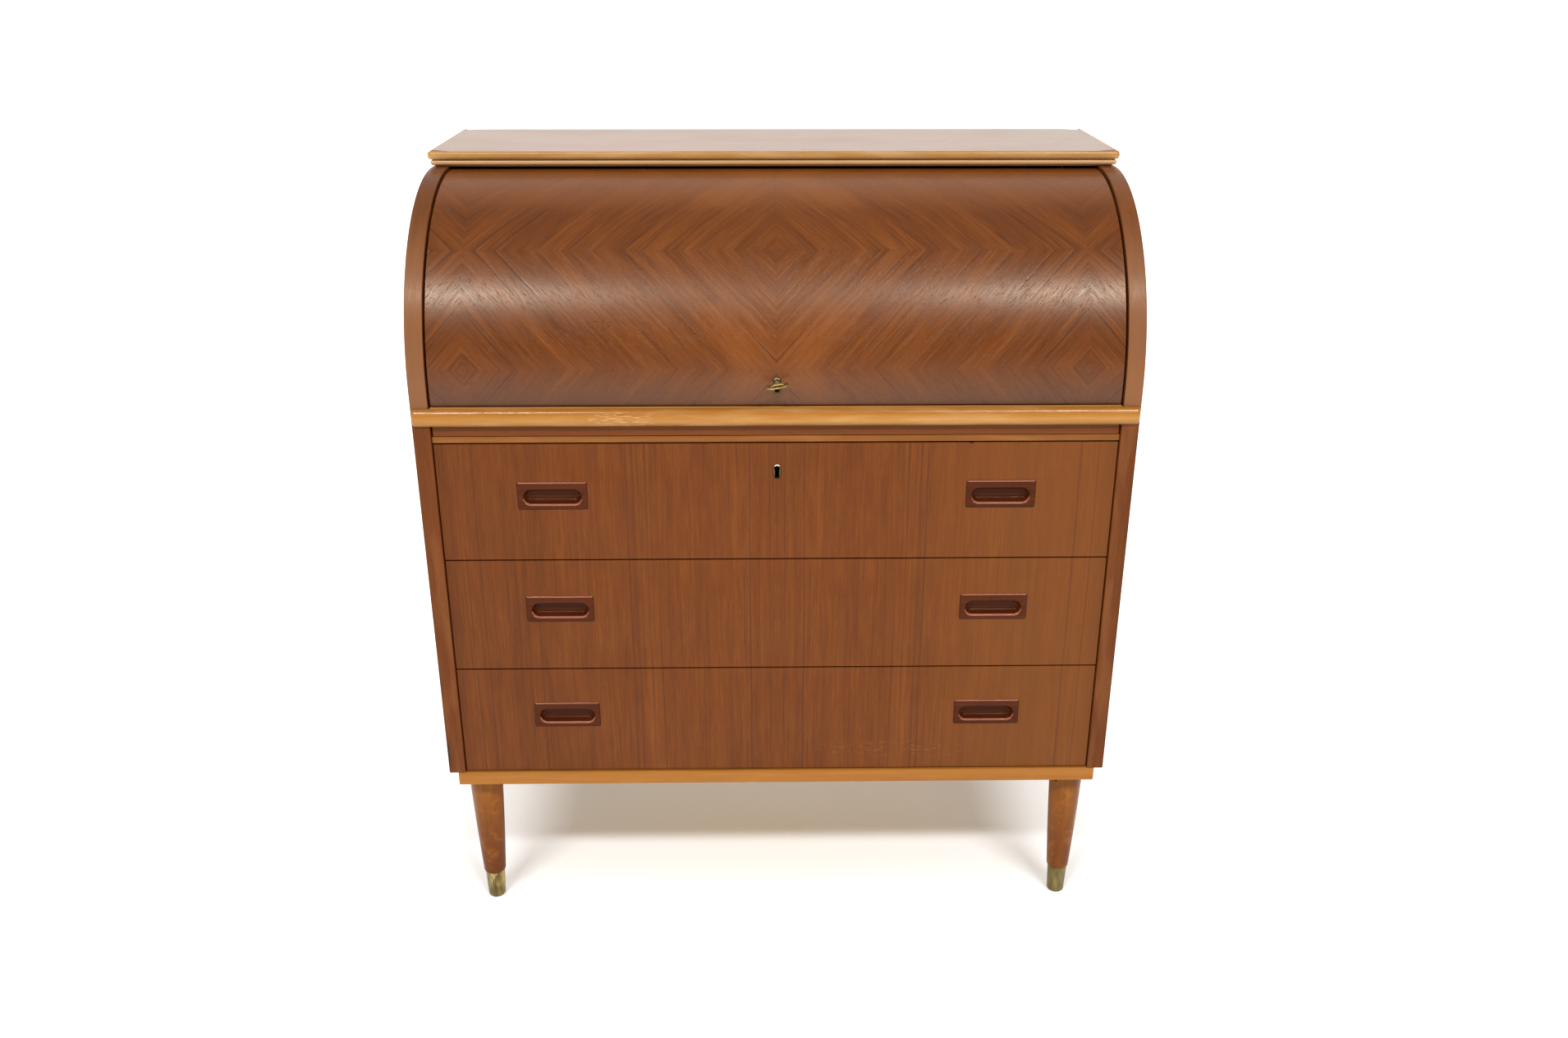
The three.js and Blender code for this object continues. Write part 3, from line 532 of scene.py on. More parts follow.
def side_edge_material():
    """The side panels' solid edge: fibres follow the edge round, from the grain map; its upper
    stretch has a painted highlight.
    """
    shader = Shader("teak_side_edge")
    u, v, _ = shader.split(shader.node("UVMap", uv_map="grain").outputs[0])
    wood_surface(shader, shader.combine(u, v, shader.own_offset()),
                 look(TEAK, contrast=0.8, lines=0.35, gloss=0.15, roughness=0.31,
                      tones=((76, 36, 9), (92, 45, 13), (108, 57, 21))))
    z = shader.xyz()[2]
    nose_low, nose_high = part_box("leaf_nose")
    # Painted highlight: the edge's upper stretch paler, fading out towards the top.
    upper = shader.remap(z, nose_low.z, nose_high.z, 0.0, 0.44)
    shader.tint((146, 106, 76), upper, shader.remap(z, 0.92, 0.99, 1.0, 0.35))
    worn(shader, (132, 82, 44), 0.3)
    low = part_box("side_left")[0]
    chips = spot(shader, (low.x, low.y, low.z + 0.03), (0.0065, 0.014, 0.034), 0.35)
    shader.tint((52, 36, 26), chips)
    return finish_wood(shader)


def nose_material():
    """The writing leaf's grip: darker above its middle, painted shade below it, rubbed pale patches,
    and scuffs left of the middle.
    """
    shader = Shader("beech_nose")
    wood_surface(shader, along_axis(shader, "x", own=False),
                 look(BEECH, bands=150, lines=0.3, gloss=0.42, roughness=0.22,
                      tones=((140, 86, 28), (160, 107, 42), (174, 126, 58))))
    z = shader.xyz()[2]
    low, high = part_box("leaf_nose")
    level = middle(low.z, high.z)
    shader.tint((134, 80, 26), shader.remap(z, level + 0.001, high.z, 0.0, 0.75))
    # Painted shade: the nose darker towards its underside.
    shader.tint((125, 81, 25), shader.remap(z, low.z, level - 0.001, 0.9, 0.0))
    worn(shader, (194, 156, 104), 0.25)
    scuffed = spot(shader, (-0.19, low.y, level), (0.055, 1, 0.012))
    marks = shader.remap(shader.noise(shader.grain, (90, 800, 800), 4), 0.5, 0.64, 0.0, 0.4)
    shader.tint((214, 186, 140), scuffed, marks)
    return finish_wood(shader)


def leg_material():
    """Turned beech, stained: warm amber at the top, redder and darker towards the foot."""
    shader = Shader("beech_leg")
    x, y, z = shader.xyz()
    wood_surface(shader, shader.combine(z, x, shader.plus(y, shader.own_offset())),
                 look(BEECH, contrast=0.9, bands=60, lines=0.35, wander=0.012, gloss=0.16,
                      tones=((100, 54, 15), (121, 70, 22), (139, 86, 32))))
    low = shader.remap(z, 0.045, 0.2, 0.95, 0.0)
    shader.tint((96, 47, 17), low, shader.remap(x, -0.1, 0.1, 1.0, 0.5))
    blotch = shader.remap(shader.noise(shader.grain, (14, 30, 30), 3), 0.5, 0.72, 0.0, 0.4)
    shader.tint((86, 42, 19), blotch)
    curl = shader.noise(shader.grain, (60, 60, 60), 3, 0.5, 0.8)
    shader.tint((160, 98, 36), shader.remap(curl, 0.5, 0.68, 0.0, 0.3))
    leg_low, leg_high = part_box("leg_front_right")
    knot = spot(shader, (leg_low.x + 0.006, leg_low.y + 0.014, leg_high.z - 0.033),
                (0.0045, 0.014, 0.005))
    shader.tint((46, 22, 10), knot)
    return finish_wood(shader)


# ---- metal ----

def v_stain(shader):
    """The stain on the front left ferrule: a V from its top edge over a darker upright band."""
    low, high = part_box("ferrule_front_left")
    x, y, z = shader.xyz()
    off = shader.absolute(shader.minus(x, middle(low.x, high.x)))
    arm = shader.math("MULTIPLY_ADD", shader.minus(high.z, z), -0.6, 0.0075)
    away = shader.absolute(shader.minus(off, shader.larger(arm, 0.0012)))
    return shader.times(shader.remap(away, 0.0, 0.0022, 0.75, 0.0), shader.math("LESS_THAN", y, 0.0))


def dull_right(shader):
    """The right-hand ferrules are the browner ones."""
    return shader.remap(shader.xyz()[0], 0.0, 0.1, 0.0, 0.55)


def rim_highlight_mask(shader):
    """A painted highlight on the upper rim of each keyhole liner."""
    rims = []
    for node in ("cover_keyhole_liner", "drawer_keyhole_liner"):
        low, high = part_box(node)
        rims.append(spot(shader, (0, low.y, high.z), (0.006, 0.02, 0.0036), 0))
    return shader.larger(*rims)


def metal(name, tones, roughness, streak=(40, 40, 40), marks=()):
    """Metal with a dulled, cloudy skin and fine scratches."""
    shader = Shader(name)
    place = shader.vector("ADD", shader.place(), shader.combine(shader.own_offset(), 0, 0))
    cloud = shader.noise(place, (90, 90, 26), 4, 0.6)
    scratch = shader.noise(place, (900, 900, 60), 2)
    stain = shader.remap(shader.noise(place, streak, 3, 0.6, 0.6), 0.52, 0.7)
    shader.colour = shader.ramp(cloud, *zip((0.3, 0.5, 0.72), tones))
    shader.tint(tones[0], stain, 0.6)
    for mask, tint in marks:
        shader.tint(tint, mask(shader))
    rough = shader.math("MULTIPLY_ADD", cloud, 0.25, roughness - 0.1)
    rough = shader.math("MULTIPLY_ADD", scratch, 0.08, rough)
    shader.set(Base_Color=shader.colour, Roughness=rough, Metallic=1.0)
    shader.bump(shader.plus(cloud, scratch), 0.3, 0.00005)
    return shader.material


def make_materials():
    MADE["side_edge"] = side_edge_material()
    MADE["top"] = top_material()
    MADE["moulding"] = moulding_material()
    MADE["drawers"] = drawer_veneer()
    MADE["cover"] = cover_veneer()
    MADE["leg"] = leg_material()
    MADE["nose"] = nose_material()
    # The finger pulls are dark; the upward sides of their edges and lips are painted paler, a painted
    # highlight with some wear.
    pull = look(TEAK, contrast=0.8, lines=0.3, bands=90, roughness=0.24, gloss=0.1,
                tones=((53, 20, 6), (68, 28, 9), (85, 38, 14)))
    rubbed = look(pull, roughness=0.2, gloss=0.42, pores=0.1,
                  tones=((112, 60, 42), (134, 76, 55), (156, 96, 72)))
    MADE["pull"] = board_material("teak_pull", pull, "x")
    MADE["pull_edge"] = board_material("teak_pull_edge", rubbed, "x")
    rail = look(BEECH, gloss=0.25, tones=((100, 53, 15), (116, 66, 20), (132, 81, 30)))
    MADE["rail"] = board_material("beech_rail", rail, "x", ((152, 98, 46), 0.35))
    plinth = look(BEECH, bands=110, gloss=0.25, tones=((130, 77, 24), (150, 95, 32), (166, 113, 44)))
    MADE["plinth"] = board_material("beech_plinth", plinth, "x")
    MADE["apron"] = board_material("teak_apron", look(TEAK, contrast=0.5, bands=110), "x")
    MADE["ferrule"] = metal("brass_aged", ((84, 70, 42), (150, 131, 84), (198, 180, 124)), 0.36,
                            (26, 26, 14), ((v_stain, (84, 70, 42)), (dull_right, (92, 82, 52))))
    # The keyhole liners get a painted highlight along their upper rims.
    MADE["liner"] = metal("brass_liner", ((46, 36, 22), (80, 62, 36), (122, 102, 64)), 0.3,
                          marks=((rim_highlight_mask, (250, 240, 214)),))
    MADE["key"] = metal("brass_key", ((120, 100, 58), (190, 164, 104), (240, 220, 168)), 0.34)
    MADE["steel"] = metal("steel_lock", ((86, 84, 80), (128, 126, 122), (160, 158, 154)), 0.34)


# ---- mesh helpers ----

def from_bmesh(name, bm, angle=35):
    bmesh.ops.recalc_face_normals(bm, faces=bm.faces)
    mesh = bpy.data.meshes.new(name)
    bm.to_mesh(mesh)
    bm.free()
    mesh.polygons.foreach_set("use_smooth", [True] * len(mesh.polygons))
    mesh.set_sharp_from_angle(angle=math.radians(angle))
    return mesh


def piece(name, mesh, body, materials, replaces=(), cutters=()):
    """A named piece on a body, with closed shapes cut out of it."""
    obj = bpy.data.objects.new(name, mesh)
    scene.collection.objects.link(obj)
    for material in materials:
        mesh.materials.append(material)
    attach(obj, body)
    if replaces:
        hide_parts(*replaces)
    cut_out(obj, cutters)
    clean_normals(obj)
    return obj


def board_mesh(name, low, high, bevel, segments=3):
    """A board with eased edges. The eased faces have material slot 1."""
    bm = bmesh.new()
    bmesh.ops.create_cube(bm, size=1)
    low, high = Vector(low), Vector(high)
    for vert in bm.verts:
        vert.co = Vector(map(lambda c, a, b: a + (c + 0.5) * (b - a), vert.co, low, high))
    eased = bmesh.ops.bevel(bm, geom=bm.edges[:], offset=bevel, segments=segments, profile=0.5,
                            affect="EDGES")
    for face in eased["faces"]:
        face.material_index = 1
    return from_bmesh(name, bm)


def board(name, low, high, body, slot, materials, bevel=0.0008, replaces=(), cutters=()):
    mesh = board_mesh(name, low, high, bevel)
    return piece(name, mesh, body, materials, replaces, cutters)


def loft(name, loops, cap=True, rim_slot=0, angle=35):
    """Quads between equal loops of points, closed at both ends, with a grain map on the quads:
    along each loop's length and from loop to loop."""
    bm = bmesh.new()
    grain = bm.loops.layers.uv.new("grain")
    rings = [[bm.verts.new(p) for p in loop] for loop in loops]
    count = len(loops[0])
    lengths = [0.0]
    for i in range(count):
        lengths.append(lengths[-1] + (Vector(loops[0][(i + 1) % count]) - Vector(loops[0][i])).length)
    travel = [0.0]
    for first, second in zip(loops, loops[1:]):
        step = max((Vector(b) - Vector(a)).length for a, b in zip(first, second))
        travel.append(travel[-1] + step)
    for j, (first, second) in enumerate(zip(rings, rings[1:])):
        for i in range(count):
            k = (i + 1) % count
            face = bm.faces.new((first[i], first[k], second[k], second[i]))
            face.material_index = rim_slot
            corners = ((lengths[i], travel[j]), (lengths[i + 1], travel[j]),
                       (lengths[i + 1], travel[j + 1]), (lengths[i], travel[j + 1]))
            for corner, uv in zip(face.loops, corners):
                corner[grain].uv = uv
    if cap:
        bm.faces.new(rings[0])
        bm.faces.new(rings[-1])
    bmesh.ops.remove_doubles(bm, verts=bm.verts, dist=1e-6)
    return from_bmesh(name, bm, angle)


def eased_ends(low, high, radius, steps=3):
    """Places along a slab with the inset of its outline there, so that both rims are rounded."""
    ends = []
    for i in range(steps + 1):
        turn = math.pi / 2 * i / steps
        ends.append((low + radius * (1 - math.cos(turn)), radius * (1 - math.sin(turn))))
    return ends + [(low + high - at, inset) for at, inset in reversed(ends)]


def slab_along_x(name, outline, low, high, radius, rim_slot=0):
    """outline(inset) gives (y, z) points; the slab runs from x = low to x = high."""
    loops = [[(x, y, z) for y, z in outline(inset)] for x, inset in eased_ends(low, high, radius)]
    return loft(name, loops, rim_slot=rim_slot)


def arc(centre, radius, start, end, steps):
    """Points round a centre, from one angle to another in degrees."""
    for i in range(steps + 1):
        turn = math.radians(start + (end - start) * i / steps)
        yield centre[0] + radius * math.cos(turn), centre[1] + radius * math.sin(turn)


def rounded_rectangle(width, height, radius, count):
    """Points at equal steps round a rectangle with round corners, from the middle of its right."""
    straight_x, straight_z = width / 2 - radius, height / 2 - radius
    bend = radius * math.pi / 2
    runs = [straight_z, bend, 2 * straight_x, bend, 2 * straight_z, bend, 2 * straight_x, bend,
            straight_z]
    return [on_rectangle(sum(runs) * i / count, runs, width, height, radius) for i in range(count)]


def on_rectangle(way, runs, width, height, radius):
    half_x, half_z = width / 2, height / 2
    corners = ((1, 1, 0), (-1, 1, 90), (-1, -1, 180), (1, -1, 270))
    starts = ((half_x, 0), None, (half_x - radius, half_z), None, (-half_x, half_z - radius), None,
              (-half_x + radius, -half_z), None, (half_x, -half_z + radius))
    headings = ((0, 1), None, (-1, 0), None, (0, -1), None, (1, 0), None, (0, 1))
    for index, run in enumerate(runs):
        if way > run and index < len(runs) - 1:
            way -= run
            continue
        if headings[index]:
            (x, z), (dx, dz) = starts[index], headings[index]
            return x + dx * way, z + dz * way
        side_x, side_z, start = corners[index // 2]
        turn = math.radians(start + 90 * (way / run if run else 0))
        return (side_x * (half_x - radius) + radius * math.cos(turn),
                side_z * (half_z - radius) + radius * math.sin(turn))


def turned(name, profile, centre, sides=64, angle=35):
    """A turned piece: profile is (radius, height) pairs from one end to the other."""
    turns = [2 * math.pi * i / sides for i in range(sides)]
    return loft(name, [[(centre[0] + radius * math.cos(turn), centre[1] + radius * math.sin(turn), z)
                        for turn in turns] for radius, z in profile], angle=angle)


def eased_cad(node, materials, bevel=0.0006):
    """Keeps a CAD node, with its edges eased by modifiers and a finish on its slots."""
    obj = frame["nodes"][node]
    weld = obj.modifiers.new("weld", "WELD")
    weld.merge_threshold = 1e-6
    ease = obj.modifiers.new("ease", "BEVEL")
    ease.width, ease.segments = bevel, 2
    ease.limit_method, ease.angle_limit = "ANGLE", math.radians(40)
    ease.material = 1 if len(materials) > 1 else -1
    while len(obj.data.materials) < len(materials):
        obj.data.materials.append(None)
    for slot, material in zip(obj.material_slots, materials):
        slot.material = material
    clean_normals(obj)


def clean_normals(obj):
    """Keeps wide flat faces flat beside their eased edges."""
    obj.modifiers.new("flat_faces", "WEIGHTED_NORMAL").keep_sharp = True


def cut_out(obj, cutters):
    """Cuts closed shapes out of a piece at once."""
    for cutter in cutters:
        tool = bpy.data.objects.new("cutter", cutter)
        scene.collection.objects.link(tool)
        modifier = obj.modifiers.new("cut", "BOOLEAN")
        modifier.object = tool
        modifier.solver = "EXACT"
        bpy.context.view_layer.update()
        depsgraph = bpy.context.evaluated_depsgraph_get()
        shape = bpy.data.meshes.new_from_object(obj.evaluated_get(depsgraph))
        obj.modifiers.remove(modifier)
        bpy.data.objects.remove(tool)
        obj.data = shape


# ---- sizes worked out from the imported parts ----

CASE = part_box("side_left")[0].y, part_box("side_left")[1].y
JOINTS = {joint["name"]: joint for joint in frame["record"]["behaviour"]["joints"]}
PIVOT_Y, PIVOT_Z = JOINTS["cover_hinge"]["pos_m"][1:]
FINE_EASE = 0.0006  # of the edges of thin boards
PLAY = 0.0001  # between boards that lie against each other


def middle(low, high):
    return (low + high) / 2


# ---- side panels ----

SIDE_EASE = 0.0011


def side_outline(inset):
    """A side board seen from the side, round at its top front."""
    low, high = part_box("side_left")
    points = [(high.y - inset, low.z + inset), (low.y + inset, low.z + inset)]
    points += arc((PIVOT_Y, PIVOT_Z), high.z - PIVOT_Z - inset, 180, 90, 72)
    return points + [(high.y - inset, high.z - inset)]


def add_sides():
    for hand, _ in SIDES:
        name = f"side_panel_{hand}"
        low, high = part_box(f"side_{hand}")
        mesh = slab_along_x(name, side_outline, low.x, high.x, SIDE_EASE, 1)
        piece(name, mesh, "case", (teak("z"), MADE["side_edge"]), (f"side_{hand}",))


# ---- top board and its double-bead moulding ----

MOULD_CORNER = 0.005
MOULD_DEPTH = 0.012
REBATE = (0.0085, 0.002)  # of the shadow line under the moulding: its depth and height
LOWER_BEAD, UPPER_BEAD = 0.0084, 0.0094  # heights at which one bead ends and the other starts
BEAD_SET = 0.003  # the lower bead lies this far back
BEAD_DEPTH = (0.003, 0.0036)  # of the lower and of the upper bead
GROOVE_DEPTH = 0.0058
REAR_ROUND = 0.006
VENEER = 0.0008
VENEER_INSET = 0.0042
VENEER_CORNER = 0.0018


def moulding_section():
    """The moulding's profile as (out, z), out from its front edge, from the back bottom round."""
    low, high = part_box("top_moulding_front")
    lower = (low.z + REBATE[1], low.z + LOWER_BEAD)
    upper = (low.z + UPPER_BEAD, high.z)
    points = [(-MOULD_DEPTH, low.z), (-REBATE[0], low.z), (-REBATE[0], lower[0])]
    points += bead(lower, BEAD_SET, BEAD_DEPTH[0])
    points.append((-GROOVE_DEPTH, middle(lower[1], upper[0])))
    points += bead(upper, 0, BEAD_DEPTH[1])
    level = high.z - VENEER
    return points + [(-VENEER_INSET, high.z), (-VENEER_INSET, level), (-MOULD_DEPTH, level)]


def bead(span, back, depth, steps=14):
    """One rounded bead as (out, z), a little flatter than half an ellipse."""
    half, level = (span[1] - span[0]) / 2, middle(*span)
    for i in range(steps + 1):
        turn = math.radians(-90 + 180 * i / steps)
        flat = max(0, math.cos(turn)) ** 0.85
        rise = math.copysign(abs(math.sin(turn)) ** 0.95, turn)
        yield -back - depth * (1 - flat), level + half * rise


def round_corner(out, turn, half, front_y):
    """A point of the moulding as it turns the right front corner; turn goes 0 to 90 degrees."""
    radius = MOULD_CORNER + out
    centre = (half - MOULD_CORNER, front_y + MOULD_CORNER)
    if radius <= 0:
        return centre[0] + radius, centre[1] - radius
    angle = math.radians(turn)
    return centre[0] + radius * math.sin(angle), centre[1] - radius * math.cos(angle)


def rear_end(section, half, side, rear, steps=5):
    """The moulding's last stretch, its outer rear corner rounded in plan."""
    loops = []
    for i in range(steps + 1):
        turn = math.pi / 2 * i / steps
        y = rear - REAR_ROUND * (1 - math.sin(turn))
        inset = REAR_ROUND * (1 - math.cos(turn))
        loops.append([(side * (half + min(out, -inset)), y, z) for out, z in section])
    return loops


def add_moulding():
    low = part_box("top_moulding_front")[0]
    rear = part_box("top_moulding_left")[1].y
    section = moulding_section()
    steps = [45 * i / 5 for i in range(6)]
    half = -low.x

    def corner(turn, side):
        places = [(*round_corner(out, turn, half, low.y), z) for out, z in section]
        return [(side * x, y, z) for x, y, z in places]

    loops = [corner(turn, -1) for turn in reversed(steps)] + [corner(turn, 1) for turn in steps]
    piece("top_edge_front", loft("top_edge_front", loops), "case", (MADE["moulding"],),
          ("top_moulding_front",))
    for hand, side in SIDES:
        name = f"top_edge_{hand}"
        loops = [corner(90 - turn, side) for turn in reversed(steps)]
        loops += rear_end(section, half, side, rear)
        piece(name, loft(name, loops), "case", (beech("y"),), (f"top_moulding_{hand}",))


def add_top():
    """The board, and the sheet of veneer that lies over it and the mouldings' backs."""
    front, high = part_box("top_moulding_front")
    level = high.z - VENEER
    low, panel_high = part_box("top_panel")
    board("top_board", low, (panel_high.x, panel_high.y, level - PLAY), "case", "teak",
          teak_boards("x"), FINE_EASE, ("top_panel",))
    rear = min(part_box("top_moulding_left")[1].y, panel_high.y)
    inset = VENEER_INSET + PLAY
    depth = rear - front.y - inset
    sheet = rounded_rectangle(2 * (-front.x - inset), depth, VENEER_CORNER, 64)
    loops = [[(x, rear - depth / 2 + y, z) for x, y in sheet] for z in (level, panel_high.z)]
    piece("top_veneer", loft("top_veneer", loops), "case", (MADE["top"],))


# ---- cover ----

COVER_EASE = 0.0006
COVER_THICKNESS = 0.009
SKIN = 0.0012  # faces this near the outside show the matched veneer
LINER_SIZE = (0.0096, 0.019)
LINER_DROP = (LINER_SIZE[1] - LINER_SIZE[0]) / 2  # of its middle below the key's axis


def cover_angles():
    """The panel's radius, and its front and back edges in degrees above the pivot's level."""
    low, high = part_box("cover_panel")
    radius = PIVOT_Y - low.y
    back = math.degrees(math.asin((high.y - PIVOT_Y) / radius))
    front = math.degrees(math.asin((low.z - PIVOT_Z) / radius))
    return radius, front, 90 + back


def cover_outline(inset):
    radius, front, back = cover_angles()
    turn = math.degrees(inset / radius)
    centre, front, back = (PIVOT_Y, PIVOT_Z), 180 - front - turn, 180 - back + turn
    inner = radius - COVER_THICKNESS + inset
    return [*arc(centre, radius - inset, front, back, 80), *arc(centre, inner, back, front, 80)]


def lock_frame():
    """The turn and origin of points given as (x, out, up) from the keyhole, out along the key."""
    axis = Vector(JOINTS["key_turn"]["axis"]).normalized()
    up = Vector((1, 0, 0)).cross(axis)
    up = up if up.z > 0 else -up
    origin = Vector((0, PIVOT_Y, PIVOT_Z)) + axis * cover_angles()[0]
    return Matrix((Vector((1, 0, 0)), axis, up)).transposed().to_4x4(), origin


def in_lock_frame(mesh):
    turn, origin = lock_frame()
    mesh.transform(Matrix.Translation(origin) @ turn)
    if turn.determinant() < 0:
        mesh.flip_normals()
    return mesh


def keyhole_cutter(centre_z, low, high, slack=0.0003):
    """A stadium-shaped plug for a keyhole liner's hole, along y."""
    width, height = (size + 2 * slack for size in LINER_SIZE)
    ring = rounded_rectangle(width, height, width / 2 - 1e-5, 48)
    return loft("plug", [[(x, y, centre_z + z) for x, z in ring] for y in (low, high)])


def add_cover():
    low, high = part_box("cover_panel")
    mesh = slab_along_x("cover_shell", cover_outline, low.x, high.x, COVER_EASE)
    shell = piece("cover_shell", mesh, "cover", (MADE["cover"], teak("x")),
                  ("cover_panel",), [in_lock_frame(keyhole_cutter(-LINER_DROP, -0.015, 0.004))])
    for face in shell.data.polygons:
        away = math.hypot(face.center.y - PIVOT_Y, face.center.z - PIVOT_Z)
        face.material_index = 0 if away > cover_angles()[0] - SKIN else 1


# ---- writing leaf: bullnose, apron, rail ----

NOSE_EASE = 0.0035


def nose_outline(inset):
    low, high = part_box("leaf_nose")
    back = CASE[0] - 0.0004
    reach = back - low.y - inset
    half = (high.z - low.z) / 2 - inset
    for i in range(25):
        turn = math.radians(-90 + 180 * i / 24)
        yield back - reach * max(0, math.cos(turn)), middle(low.z, high.z) + half * math.sin(turn)


def add_leaf_front():
    low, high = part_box("leaf_nose")
    mesh = slab_along_x("leaf_bullnose", nose_outline, low.x, high.x, NOSE_EASE)
    piece("leaf_bullnose", mesh, "leaf", (MADE["nose"],), ("leaf_nose",))
    leaf_low, leaf_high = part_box("writing_leaf")
    board("leaf_bullnose_tongue", (leaf_low.x, CASE[0] - 0.0003, leaf_low.z),
          (leaf_high.x, high.y, leaf_high.z), "leaf", "beech", beech_boards("x"), 0.0004)
    for node, body, slot, finish, ease in (("leaf_apron", "leaf", "teak", "apron", 0.0012),
                                           ("leaf_rail", "case", "beech", "rail", 0.0008),
                                           ("plinth_front", "case", "beech", "plinth", 0.002)):
        board(f"{node}_board", *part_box(node), body, slot, (MADE[finish],) * 2, ease, (node,))


# ---- drawers ----

FRONT_EASE = 0.0009
PLATE_THICKNESS = 0.004
PLATE_CORNER = 0.0009
PULL_DROP = 0.0015  # of a pull's slot below its plate's middle
CUP_SIZE = (0.0794, 0.0254)
SCOOP_SIZE = (0.073, 0.019)
SCOOP_DEPTH = 0.0112
SCOOP_TAPER = 0.0062
PULL_EASE = 0.0018
PULL_LIP = 0.0022
LIP_DEPTH = 0.003
PULL_POINTS = 96
ROLL = [math.radians(turn) for turn in (0, 22, 45, 67, 90)]


def add_drawer_front(name):
    node = f"drawer_front_{name}"
    low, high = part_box(node)
    cutters = [pocket(*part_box(f"pull_{name}_{hand}")) for hand, _ in SIDES]
    if name == "top":
        liner_low, liner_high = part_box("drawer_keyhole_liner")
        centre = middle(liner_low.z, liner_high.z)
        cutters.append(keyhole_cutter(centre, low.y - 0.001, high.y + 0.001))
    board(f"drawer_face_{name}", low, high, f"drawer_{name}", "teak", (MADE["drawers"],) * 2,
          FRONT_EASE, (node,), cutters)


def pocket(low, high, slack=0.0002):
    """The hole in a drawer front for a finger pull: its plate's seat and its cup's well."""
    centre_x, centre_z = middle(low.x, high.x), middle(low.z, high.z)
    seat = rounded_rectangle(high.x - low.x + 2 * slack, high.z - low.z + 2 * slack, 0.0012, 64)
    width, height = CUP_SIZE[0] + 2 * slack, CUP_SIZE[1] + 2 * slack
    well = rounded_rectangle(width, height, height / 2 - 1e-5, 64)
    floor = low.y + PLATE_THICKNESS + slack
    rings = ((seat, low.y - 0.002, 0), (seat, floor, 0), (well, floor, PULL_DROP),
             (well, high.y + slack, PULL_DROP))
    return loft("pocket", [[(centre_x + x, y, centre_z + z - drop) for x, z in ring]
                           for ring, y, drop in rings])


def add_pull(name, hand):
    """A let-in finger pull: bevelled plate, rolled lip and a scooped recess."""
    low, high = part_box(f"pull_{name}_{hand}")
    centre_x, centre_z = middle(low.x, high.x), middle(low.z, high.z)
    width, height = high.x - low.x, high.z - low.z
    front, seat = low.y, low.y + PLATE_THICKNESS
    loops = []

    def ring(wide, tall, radius, y, drop=0):
        points = rounded_rectangle(wide, tall, radius, PULL_POINTS)
        loops.append([(centre_x + x, y, centre_z + z - drop) for x, z in points])

    def plate(shrink, y):
        ring(width - 2 * shrink, height - 2 * shrink, PLATE_CORNER, y)

    def slot(size, shrink, y, drop=PULL_DROP):
        tall = size[1] - 2 * shrink
        ring(size[0] - 2 * shrink, tall, tall / 2 - 1e-5, y, drop)

    slot(CUP_SIZE, 0.0008, high.y)
    slot(CUP_SIZE, 0, high.y - 0.0008)
    slot(CUP_SIZE, 0, seat)
    plate(0.0002, seat)
    plate(0, seat - 0.0002)
    for turn in ROLL:
        plate(PULL_EASE * (1 - math.cos(turn)), front + PULL_EASE * (1 - math.sin(turn)))
    for turn in ROLL:
        slot(SCOOP_SIZE, -PULL_LIP * (1 - math.sin(turn)), front + PULL_LIP * (1 - math.cos(turn)))
    lip = len(loops) - 5
    for turn in range(0, 91, 10):
        angle = math.radians(turn)
        slot(SCOOP_SIZE, SCOOP_TAPER * (1 - math.cos(angle)),
             front + LIP_DEPTH + (SCOOP_DEPTH - LIP_DEPTH) * math.sin(angle),
             PULL_DROP + 0.0006 * math.sin(angle))
    piece_name = f"finger_pull_{name}_{hand}"
    mesh = loft(piece_name, loops, angle=50)
    # Painted highlight: the upward faces of the rolled edges and lips take the paler finish.
    for face in mesh.polygons[:PULL_POINTS * (len(loops) - 1)]:
        band = face.index // PULL_POINTS
        rolled = lip - 5 <= band < lip - 1 or lip <= band < lip + 4
        face.material_index = int(rolled and face.normal.z > 0.15)
    piece(piece_name, mesh, f"drawer_{name}", (MADE["pull"], MADE["pull_edge"]),
          (f"pull_{name}_{hand}",))


WALL = 0.0125
FLOOR = 0.005
RUNNER_PLAY = 0.0006


def add_drawer_box(name):
    """The box behind a front: grooved sides, a back and a thin bottom, as separate boards."""
    node, body = f"drawer_box_{name}", f"drawer_{name}"
    low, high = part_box(node)
    run_low, run_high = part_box(f"runner_{name}_left")
    for hand, side in SIDES:
        wall = sorted((side * high.x, side * (high.x - WALL)))
        slot = sorted((side * (-run_high.x - RUNNER_PLAY), side * (high.x + 0.002)))
        groove = board_mesh("groove", (slot[0], low.y - 0.001, run_low.z - RUNNER_PLAY),
                            (slot[1], high.y + 0.001, run_high.z + RUNNER_PLAY), 0.0002, 1)
        board(f"drawer_side_{name}_{hand}", (wall[0], low.y, low.z), (wall[1], high.y, high.z),
              body, "birch_ply", ply_boards("y"), replaces=(node,) if side < 0 else (),
              cutters=[groove])
    inner = high.x - WALL
    board(f"drawer_back_{name}", (-inner, high.y - WALL, low.z + FLOOR), (inner, high.y, high.z),
          body, "birch_ply", ply_boards("x"))
    board(f"drawer_bottom_{name}", (-inner, low.y, low.z), (inner, high.y, low.z + FLOOR), body,
          "birch_ply", ply_boards("x"), 0.0004)


# ---- legs and ferrules ----

LEG_TOP = 0.0233
LEG_FOOT = 0.0155
LEG_SWELL = 0.0006
TENON = 0.008
FERRULE_FOOT = 0.012


